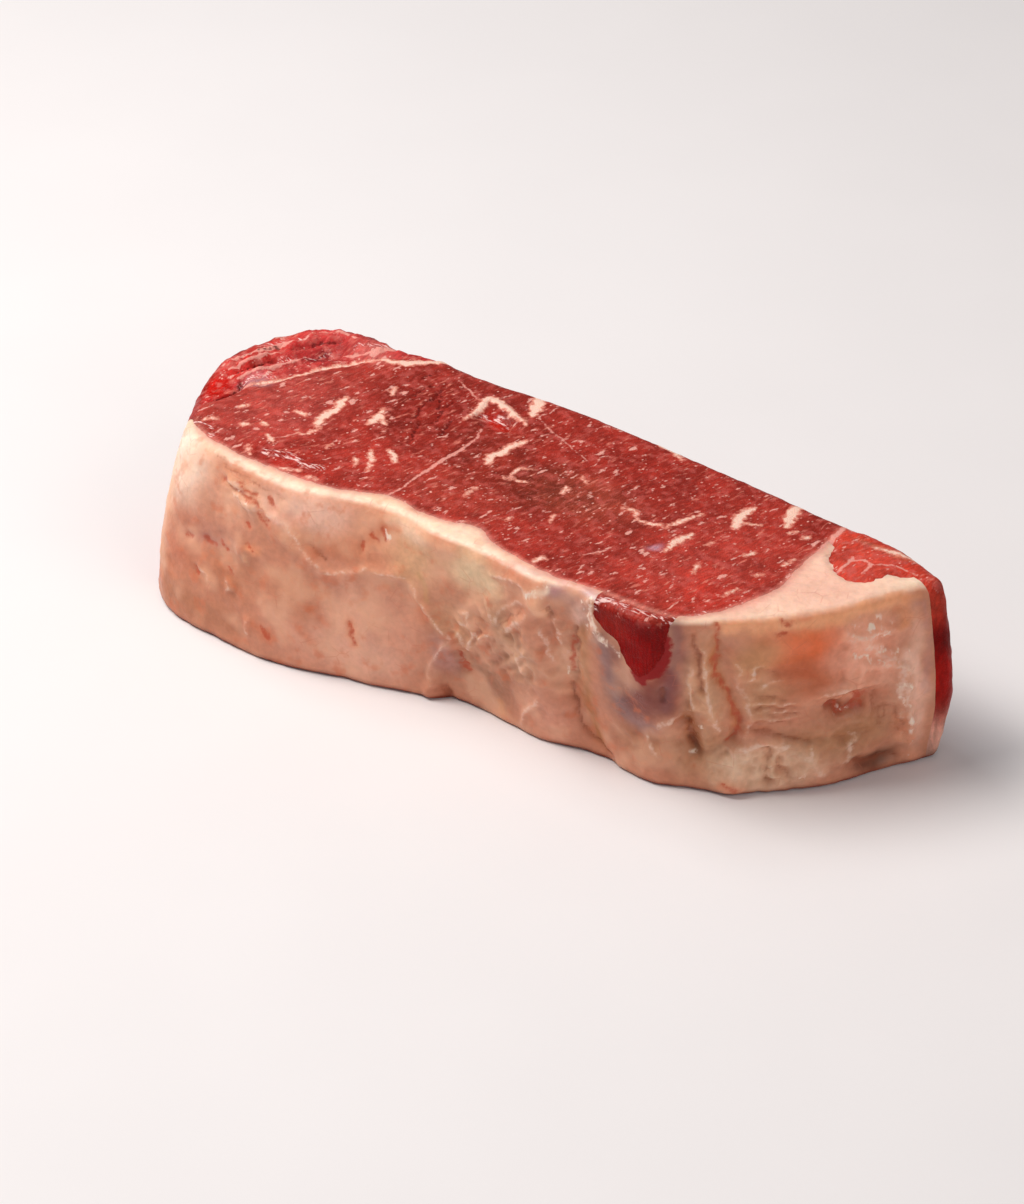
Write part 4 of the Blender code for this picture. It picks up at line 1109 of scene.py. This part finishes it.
def mounds(x, y, spots):
    """How far blobs stand out and pits go in, each given by its middle, half sizes and rise."""
    return sum(lift * bell(x - middle_x, half_x) * bell(y - middle_y, half_y)
               for middle_x, middle_y, half_x, half_y, lift in spots)


def patch_shares(places, patches):
    """How much each soft-edged patch covers each place: (across, up, half sizes, ...)."""
    for across, up, half_across, half_up, *rest in patches:
        reach = ((places[:, 0] - across) / half_across) ** 2 + ((places[:, 1] - up) / half_up) ** 2
        yield np.exp(-reach ** PATCH_STEEPNESS), rest


def patch_sum(places, patches):
    """The strength of all the soft-edged patches together at each place."""
    return sum(share * strength for share, (strength,) in patch_shares(places, patches))


def ragged_places(places, solid):
    """Places shifted a little, so that the lines drawn through them waver."""
    return places + SIDE_MARK_WAVER * wavers(solid, SIDE_MARK_WAVER_LENGTH, MARK_WAVER_SEEDS)


def fold_relief(on_side, solid):
    """How far the near side's finer folds stand out, with wrinkles where the tissue is loose."""
    detail = np.zeros(len(on_side))
    shifted = ragged_places(on_side, solid)
    for close, away, half_width, (lift,) in near_marks(PALE_MARKS + RED_MARKS + DARK_MARKS, shifted):
        width = max(MARK_RELIEF_WIDTH[0] * half_width, MARK_RELIEF_WIDTH[1])
        detail[close] += MARK_LIFT * lift * bell(away, width)
    loose = LOOSE_EVERYWHERE + patch_sum(on_side, LOOSE_PATCHES)
    for size, lift in WRINKLES:
        shift = wavers(solid, WRINKLE_SHIFT_LENGTH * size, WRINKLE_SHIFT_SEEDS)
        wrinkle = abs(lumps(solid + WRINKLE_SHIFT * size * shift, size, WRINKLE_SEED))
        detail += lift * loose * (WRINKLE_CREST - WRINKLE_DROP * wrinkle)
    return detail


def side_relief(place, normals, height):
    """How far the side stands out from the plain block at places on the outline, at their heights."""
    x, y = place.T
    on_side = np.column_stack([x, height])
    solid = np.column_stack([place, height])
    rise = fold_relief(on_side, solid)
    for line, width, lift in SIDE_LINES + SIDE_FOLDS:
        rise += lift * bell(distance_to_line(line, on_side), width)
    rise += mounds(x, height, SIDE_SPOTS + SIDE_BITS)
    for size, lift in FAT_LUMPS:
        rise += lift * lumps(solid, size, FAT_LUMP_SEED)
    near = near_share(place, normals)
    up = height / THICKNESS
    barrel = FAR_BARREL * np.sin(math.pi * up)
    along_x, along_y = (across / RIPPLE_LENGTH + lean * up for across, lean in zip((x, y), RIPPLE_LEAN))
    ripple = FAR_RIPPLE * np.sin(along_x) * np.sin(along_y)
    for size, lift in LEAN_SIDE_LUMPS:
        ripple += lift * lumps(solid, size, LEAN_SIDE_SEED)
    fade = np.minimum(1, (THICKNESS - height) / RIM_FADE)
    return fade * (near * rise + (1 - near) * (barrel + ripple))


def top_relief(points):
    """How far the upper face stands above its mean height."""
    x, y = points.T
    rise = TOP_SWELL * np.sin(x / TOP_SWELL_LENGTH) * np.sin(y / TOP_SWELL_LENGTH)
    rise += mounds(x, y, TOP_SPOTS)
    for seam in (SIDE_SEAM, TAIL_SEAM):
        away = distance_to_line(smooth_path(seam, 2 * SEAM_SPACING), points)
        rise -= SEAM_GROOVE * bell(away, SEAM_GROOVE_WIDTH)
    for close, away, half_width, (lift,) in near_marks(TOP_FOLDS, points):
        rise[close] += lift * bell(away, half_width)
    for close, away, *_ in near_marks(CREASES, points):
        rise[close] -= CREASE_DEPTH * bell(away, CREASE_WIDTH)
    for size, lift in LEAN_TOP_LUMPS:
        rise += lift * lumps(points, size, LEAN_TOP_SEED)
    loose = inside(np.vstack([smooth_path(SIDE_SEAM, 1), SIDE_MUSCLE_CORNERS]), points)
    loose = loose * smooth_step(0, SIDE_MUSCLE_FADE, distance_to_line(SIDE_SEAM, points))
    for size, lift in SIDE_MUSCLE_LUMPS:
        rise += lift * loose * lumps(points, size, SIDE_MUSCLE_SEED)
    return rise


def flared(points):
    """The plain sweep bent to the steak's true sides: the lower part stands out or draws in."""
    x, y, z = points.T
    depth = np.clip(1 - z / THICKNESS, 0, 1)
    quick = 1 - (1 - depth) ** FLARE_RATE
    slow = smooth_step(0, 1, depth)
    flare = smooth_values(NEAR_FLARE, x)
    outward = np.where(flare > 0, flare * quick, flare * slow)
    near = smooth_step(*FLARE_Y, y)
    thick_end = smooth_step(*THICK_END_X, x) * (FAR_FLARE_SHARE + (1 - FAR_FLARE_SHARE) * near)
    tail_end = smooth_step(*TAIL_END_X, x)
    belly = quick - BELLY_RETURN * smooth_step(BELLY_DEPTH, 1.0, depth)
    return np.stack([x - THICK_END_FLARE * thick_end * quick + TAIL_END_FLARE * tail_end * belly,
                     y - outward * near, z], axis=1)


def linear(colour):
    """A display colour of 0 to 255 as the light that it stands for."""
    return (np.array(colour) / 255) ** DISPLAY_GAMMA


def line_field(lines, points):
    """Millimetres from each 2-D point to the nearest line's edge, negative inside.

    Lines grow thinner towards their ends.
    """
    field = np.full(len(points), FIELD_REACH)
    waver = WIDTH_WAVER * lumps(points, WIDTH_WAVER_LENGTH, WIDTH_WAVER_SEED)
    for line, half_width, *_ in lines:
        path = smooth_path(line, MARK_SPACING)
        close = near_path(path, points, FIELD_REACH)
        near_points, edge = points[close], field[close]
        for index, (start, end) in enumerate(zip(path[:-1], path[1:])):
            middle = math.sin(math.pi * (index + 0.5) / (len(path) - 1))
            body = half_width * (LINE_END_SHARE + (1 - LINE_END_SHARE) * middle)
            edge = np.minimum(edge, distance_to_stretch(start, end, near_points) - body)
        field[close] = np.minimum(field[close], edge + min(half_width, 1) * waver[close])
    return field


def mixed(tint, colour, share):
    """A tint with a colour blended over it by a share for each point."""
    return tint * (1 - share[:, None]) + linear(colour) * share[:, None]


def painted(tint, places, patches):
    """A tint with soft-edged patches of colour blended over it."""
    for share, (colour, strength) in patch_shares(places, patches):
        tint = mixed(tint, colour, strength * share)
    return tint


def stained(tint, places, stains, shown):
    """A tint with soft lines of colour blended over it, where they are shown."""
    for close, away, half_width, (colour, strength) in near_marks(stains, places):
        tint[close] = mixed(tint[close], colour, strength * shown[close] * bell(away, half_width))
    return tint


def band_field(lines, points):
    """1 along lines with soft edges, and 0 away from them."""
    field = np.zeros(len(points))
    for close, away, half_width, _ in near_marks(lines, points):
        field[close] = np.maximum(field[close], bell(away, half_width))
    return field


def set_field(mesh, name, values):
    """Keeps a number or a colour for each point of a mesh."""
    kind, key = "FLOAT", "value"
    if values.ndim == 2:
        kind, key = "FLOAT_COLOR", "color"
        values = np.column_stack([values, np.ones(len(values))])
    mesh.attributes.new(name, kind, "POINT").data.foreach_set(key, values.astype(np.float32).ravel())


class Surface:
    """A material built node by node, in millimetres."""

    def __init__(self, name, patterns):
        self.patterns = patterns
        self.material = bpy.data.materials.new(name)
        self.material.use_nodes = True
        self.tree = self.material.node_tree
        self.shader = self.tree.nodes["Principled BSDF"]
        metres = self.node("TexCoord").outputs["Object"]
        self.place = self.node("VectorMath", metres, (1 / MM,) * 3, operation="MULTIPLY").outputs[0]

    def node(self, kind, *inputs, **settings):
        """A new node with these settings, and inputs in order: a value, or another node's output."""
        made = self.tree.nodes.new("ShaderNode" + kind)
        for name, value in settings.items():
            setattr(made, name, value)
        for socket, value in zip(made.inputs, inputs):
            self.feed(socket, value)
        return made

    def feed(self, socket, value):
        if isinstance(value, bpy.types.NodeSocket):
            self.tree.links.new(value, socket)
        else:
            socket.default_value = value

    def math(self, operation, first, second=0.0):
        return self.node("Math", first, second, operation=operation).outputs[0]

    def plus(self, first, second):
        return self.math("ADD", first, second)

    def times(self, first, second):
        return self.math("MULTIPLY", first, second)

    def field(self, name):
        return self.node("Attribute", attribute_name=name).outputs["Fac"]

    def colour(self, name):
        return self.node("Attribute", attribute_name=name).outputs["Color"]

    def ramp(self, value, low, high, to_low=0.0, to_high=1.0):
        """A value brought from one range to another, with soft ends."""
        return self.node("MapRange", value, low, high, to_low, to_high,
                         interpolation_type="SMOOTHSTEP").outputs[0]

    def stretched(self, x, y, z, turn=0.0):
        turned = self.node("Mapping", self.place, (0, 0, 0), (0, 0, turn), (x, y, z), vector_type="TEXTURE")
        return turned.outputs[0]

    def noise(self, size, detail=2.0, stretch=None):
        made = self.node("TexNoise")
        self.feed(made.inputs["Vector"], self.stretched(*stretch) if stretch else self.place)
        self.feed(made.inputs["Scale"], 1 / size)
        self.feed(made.inputs["Detail"], detail)
        return made.outputs["Fac"]

    def cells(self, size, stretch, feature="F1"):
        made = self.node("TexVoronoi", feature=feature)
        self.feed(made.inputs["Vector"], self.stretched(*stretch))
        self.feed(made.inputs["Scale"], 1 / size)
        return made.outputs["Distance"]

    def pattern(self, name):
        """One of the surface's own patterns: noise brought to its range."""
        noise_values, reach = self.patterns[name]
        return self.ramp(self.noise(*noise_values), *reach)

    def edged_marks(self, ranges, detail, strength):
        """The share of each kind of mark, with edges roughened by noise. A core has its mark's field."""
        ragged = self.times(self.math("SUBTRACT", self.noise(RAGGED_SIZE, detail), 0.5), strength)
        shares = {}
        for kind, reach in ranges.items():
            edge = self.times(ragged, SEAM_RAGGEDNESS) if kind == "seams" else ragged
            away = self.plus(self.field(kind.removesuffix("_core")), edge)
            shares[kind] = self.ramp(away, *reach)
        return shares

    def painted_glints(self):
        """Painted highlights: flecks of noise where the field of painted glint bands asks for them."""
        return self.times(self.pattern("painted_glints"), self.ramp(self.field("painted_glint_band"), *PAINTED_GLINT_RANGE))

    def weighted(self, values, weights):
        """The sum of some values, each times its own weight."""
        total = 0.0
        for name, weight in weights.items():
            total = self.plus(total, self.times(values[name], weight))
        return total

    def roughness(self, wet_shine):
        """How rough the surface is: less so where it is wet."""
        return self.math("SUBTRACT", self.pattern("roughness"), self.times(self.field("wet"), wet_shine))

    def blend(self, share, first, second):
        """A second colour over the first. Sockets 0, 6 and 7 are a colour mix's share and colours."""
        made = self.node("Mix", data_type="RGBA")
        for index, value in ((0, share), (6, first), (7, second)):
            self.feed(made.inputs[index], value)
        return made.outputs[2]

    def layered(self, colour, colours, shares):
        """A colour under layers, from the lowest up, each with its own colour and share."""
        for name, layer in colours.items():
            colour = self.blend(shares[name], colour, rgba(layer))
        return colour

    def shade(self, colour, factor):
        """A colour made lighter or darker."""
        made = self.node("VectorMath", operation="SCALE")
        self.feed(made.inputs[0], colour)
        self.feed(made.inputs["Scale"], factor)
        return made.outputs[0]

    def bump(self, height, depth):
        made = self.node("Bump")
        self.feed(made.inputs["Distance"], depth * MM)
        self.feed(made.inputs["Height"], height)
        return made.outputs[0]

    def finish(self, colour, roughness, normal, constants):
        """Feeds the shader, with the values that are the same all over by their sockets' names."""
        inputs = {"Base Color": colour, "Roughness": roughness, "Normal": normal, **constants}
        for name, value in inputs.items():
            self.feed(self.shader.inputs[name], value)
        return self.material


def rgba(colour):
    return (*linear(colour), 1.0)


def lean_material(name, bloom_strength):
    """Moist raw muscle cut across its grain: marbling, thin seams, specks and short streaks of fat, with the
    specks partly painted glints, creases darkened as painted shade, and painted highlights.
    """
    surface = Surface(name, LEAN_PATTERNS)
    marks = surface.edged_marks(LEAN_MARK_RANGES, *LEAN_RAGGED)
    cut = surface.field("cut")
    streaks = surface.times(surface.pattern("streaks"), surface.pattern("streak_patches"))
    streaks = surface.times(streaks, cut)
    # Specks: pale flecks of fat, partly painted glints
    small = surface.ramp(surface.cells(*SPECK_CELLS), *SPECK_RANGE)
    small = surface.times(small, surface.pattern("speck_patches"))
    specks = surface.math("MAXIMUM", small, surface.pattern("large_specks"))
    bloom = surface.times(surface.pattern("bloom"), bloom_strength)
    shares = {**marks, "streaks": streaks, "specks": surface.times(specks, cut),
              "bloom": surface.times(bloom, cut), "painted_glints": surface.painted_glints()}
    grain = surface.noise(*LEAN_GRAIN)
    tone = surface.times(surface.ramp(grain, *GRAIN_TONE), surface.pattern("mottle"))
    colour = surface.layered(surface.shade(surface.colour("tint"), tone), LEAN_LAYERS, shares)
    height = surface.weighted({**shares, "grain": grain, "fibres": surface.noise(*LEAN_FIBRES)}, LEAN_RELIEF)
    return surface.finish(colour, surface.roughness(LEAN_WET_SHINE), surface.bump(height, LEAN_BUMP),
                          LEAN_SHADER)


def fat_material(name):
    """Waxy raw fat: soft mottling, pale raised edges of skin partly painted as highlight, small red nicks,
    creases darkened as painted shade, and painted highlights.
    """
    surface = Surface(name, FAT_PATTERNS)
    marks = surface.edged_marks(FAT_MARK_RANGES, *FAT_RAGGED)
    marks["pale_marks"] = surface.times(marks["pale_marks"], surface.pattern("pale_patches"))
    mottled = surface.field("mottled")
    veins = surface.ramp(surface.cells(*VEIN_CELLS), *VEIN_RANGE)
    shares = {**marks, "flush": surface.times(surface.pattern("flush"), mottled),
              "cloud": surface.times(surface.pattern("cloud"), mottled),
              "veins": surface.times(veins, surface.pattern("vein_patches")), "painted_glints": surface.painted_glints()}
    tone = surface.times(surface.pattern("mottle"), surface.pattern("fine_mottle"))
    colour = surface.layered(surface.shade(surface.colour("tint"), tone), FAT_LAYERS, shares)
    waves, pores = surface.noise(*FAT_WAVES), surface.noise(*FAT_PORES)
    height = surface.weighted({**marks, "waves": waves, "pores": pores}, FAT_RELIEF)
    return surface.finish(colour, surface.roughness(FAT_WET_SHINE), surface.bump(height, FAT_BUMP),
                          FAT_SHADER)


def fat_marks(mesh, tint, place, on_side, side_shown):
    """Sets where the fat has marks, painted crease shade and painted highlights among them, and returns its
    tint with stains and with painted shade in the hollows of its folds and painted light on their ridges.
    """
    solid = np.column_stack([place, on_side[:, 1]])
    folds = np.clip(fold_relief(on_side, solid) * side_shown, *CREASE_RANGE)
    # Painted shade in the hollows of folds and wrinkles, and painted light on their ridges
    tint = tint * (1 + CREASE_SHADE * folds)[:, None] ** CREASE_HUE
    shifted = ragged_places(on_side, solid)
    side_away = FIELD_REACH * (1 - side_shown)
    for kind, marks in (("pale_marks", PALE_MARKS), ("red_marks", RED_MARKS), ("shaded_creases", DARK_MARKS)):
        set_field(mesh, kind, line_field(marks, shifted) + side_away)
    set_field(mesh, "bare", line_field(BARE_MARKS, on_side) + side_away)
    set_field(mesh, "painted_glint_band", band_field(FAT_PAINTED_GLINTS, shifted) * side_shown)
    calm = CALM_SHARE * smooth_step(*CALM_X, place[:, 0])
    set_field(mesh, "mottled", (TOP_MOTTLE + (1 - TOP_MOTTLE) * side_shown) * (1 - calm))
    return stained(tint, shifted, SIDE_STAINS, side_shown)


def lean_marks(mesh, plain):
    """Sets where the lean has marks, painted crease shade and painted highlights among them: on its upper
    face alone.
    """
    depth = THICKNESS - plain[:, 2]
    shifted = plain[:, :2] + MARK_WAVER * wavers(plain, MARK_WAVER_LENGTH, MARK_WAVER_SEEDS)
    off_top = np.where(depth > MARKS_DEPTH, FIELD_REACH, 0)
    for kind, marks in (("marbling", MARBLING), ("seams", THIN_SEAMS), ("creases", CREASES)):
        set_field(mesh, kind, line_field(marks, shifted) + off_top)
    set_field(mesh, "painted_glint_band", band_field(LEAN_PAINTED_GLINTS, shifted) * (off_top == 0))
    set_field(mesh, "cut", smooth_step(*CUT_DEPTH, depth))


def piece_fields(name, mesh, plain):
    """Sets what a piece's material reads, from places on the plain block: tint, wetness and marks."""
    plan, height = plain[:, :2], plain[:, 2]
    place, normals, _ = edge_places(plan)
    depth = THICKNESS - height
    on_side = np.column_stack([place[:, 0], height])
    side_shown = near_share(place, normals) * smooth_step(*SIDE_DEPTH, depth)
    lean_reach, fat_reach = EDGE_REACH
    if name == "fat_cap":
        top_tint, side_tint, edge_tint, edge_reach = FAT_TOP_TINT, FAT_SIDE_TINT, EDGE_FAT, fat_reach
        top_patches, side_patches, wet = FAT_TOP_PATCHES, FAT_SIDE_PATCHES, patch_sum(on_side, FAT_WET)
    else:
        top_tint, side_tint, edge_tint, edge_reach = LEAN_TINTS[name], LEAN_SIDE_TINT, EDGE_LEAN, lean_reach
        top_patches, side_patches, wet = LEAN_TOP_PATCHES, LEAN_SIDE_PATCHES, patch_sum(plan, LEAN_WET)
    waver = wavers(plain, TINT_WAVER_LENGTH, TINT_WAVER_SEEDS)
    top = painted(linear(top_tint), plan + TOP_WAVER * waver, top_patches)
    side = painted(linear(side_tint), on_side + SIDE_WAVER * waver, side_patches)
    on_top = smooth_step(*TOP_TINT_DEPTH, depth)
    seam_away = distance_to_line(seam_path(NEAR_SEAM), plan)
    top = mixed(top, edge_tint, EDGE_STRENGTH * on_top * bell(seam_away, edge_reach))
    tint = on_top[:, None] * top + (1 - on_top[:, None]) * side
    tint = mixed(tint, FOOT_PAINTED_SHADE, smooth_step(*FOOT_HEIGHT, height))
    if name == "fat_cap":
        tint = fat_marks(mesh, tint, place, on_side, side_shown)
    else:
        lean_marks(mesh, plain)
    set_field(mesh, "tint", tint)
    set_field(mesh, "wet", np.clip(wet, 0, 1))


def moved(plain):
    """Points of the plain block moved onto the steak's own surface."""
    place, normals, away = edge_places(plain[:, :2])
    height = plain[:, 2]
    pushed = smooth_step(*RELIEF_DEPTH, away) * side_relief(place, normals, height)
    plan = plain[:, :2] + normals * pushed[:, None]
    share = smooth_step(THICKNESS - TOP_RELIEF_DEPTH, THICKNESS, height)
    solid = flared(np.column_stack([plan, height + share * top_relief(plan)]))
    return (solid - (*MIDDLE, 0)) * MM


def add_piece(name, mesh, material, slot):
    """One finished piece of the steak, in place of its solid."""
    plain = np.empty(3 * len(mesh.vertices), np.float32)
    mesh.vertices.foreach_get("co", plain)
    plain = plain.reshape(-1, 3).astype(float)
    piece_fields(name, mesh, plain)
    mesh.vertices.foreach_set("co", moved(plain).astype(np.float32).ravel())
    mesh.update()
    mesh.materials.clear()
    mesh.materials.append(material)
    mesh.shade_smooth()
    mesh.set_sharp_from_angle(angle=SHARP_ANGLE)
    piece = add_object(name + "_flesh", mesh)
    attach(piece, "root")
    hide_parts(name)


def add_floor():
    surface = Surface("pale_floor", FLOOR_PATTERNS)
    colour = surface.shade(tuple(linear(FLOOR_COLOUR)), surface.pattern("tone"))
    surface.finish(colour, FLOOR_ROUGHNESS, surface.bump(surface.noise(*FLOOR_GRAIN), FLOOR_BUMP), {})
    half = FLOOR_HALF
    corners = [(-half, -half, 0), (half, -half, 0), (half, half, 0), (-half, half, 0)]
    mesh = bpy.data.meshes.new("floor")
    mesh.from_pydata(corners, [], [(0, 1, 2, 3)])
    mesh.materials.append(surface.material)
    add_object("floor", mesh)


def add_light(name, azimuth, elevation, distance, size, power, colour):
    """A soft square light that faces the steak. Azimuth 0 is in front of the fat, and 90 past the tail."""
    light = bpy.data.lights.new(name, "AREA")
    light.size = size
    light.energy = power
    light.color = colour
    lamp = add_object(name, light)
    around, up = math.radians(azimuth), math.radians(elevation)
    outward = Vector((math.sin(around) * math.cos(up), -math.cos(around) * math.cos(up), math.sin(up)))
    lamp.location = outward * distance
    lamp.rotation_euler = outward.to_track_quat("Z", "Y").to_euler()


def add_world():
    world = bpy.data.worlds.new("studio")
    world.use_nodes = True
    background = world.node_tree.nodes["Background"]
    background.inputs["Color"].default_value = (*WORLD_COLOUR, 1.0)
    background.inputs["Strength"].default_value = WORLD_STRENGTH
    bpy.context.scene.world = world


def add_camera():
    heading, tilt = math.radians(CAMERA_HEADING), math.radians(CAMERA_TILT)
    look = Vector((-math.sin(heading) * math.cos(tilt), math.cos(heading) * math.cos(tilt), -math.sin(tilt)))
    right = Vector((math.cos(heading), math.sin(heading), 0))
    up = right.cross(look)
    place = (Vector(CAMERA_PLACE) - Vector((*MIDDLE, 0))) * MM
    camera = bpy.data.cameras.new("camera")
    camera.sensor_fit = "VERTICAL"
    camera.sensor_height = SENSOR
    camera.lens = LENS
    camera.clip_start = CLIP_START
    holder = add_object("camera", camera)
    holder.matrix_world = Matrix((
        (right.x, up.x, -look.x, place.x), (right.y, up.y, -look.y, place.y),
        (right.z, up.z, -look.z, place.z), (0, 0, 0, 1)))
    bpy.context.scene.camera = holder


def main():
    lean, tail, side = (lean_material(name, strength) for name, strength in LEAN_BLOOM.items())
    finishes = {"eye_muscle": (lean, "lean"), "tail_muscle": (tail, "tail_lean"),
                "side_muscle": (side, "side_lean"), "fat_cap": (fat_material("fat"), "fat")}
    for name, mesh in parted_meshes().items():
        add_piece(name, mesh, *finishes[name])
    add_floor()
    for name, settings in LIGHTS.items():
        add_light(name, *settings)
    add_world()
    add_camera()
    bpy.context.scene.view_settings.view_transform = "Standard"


main()
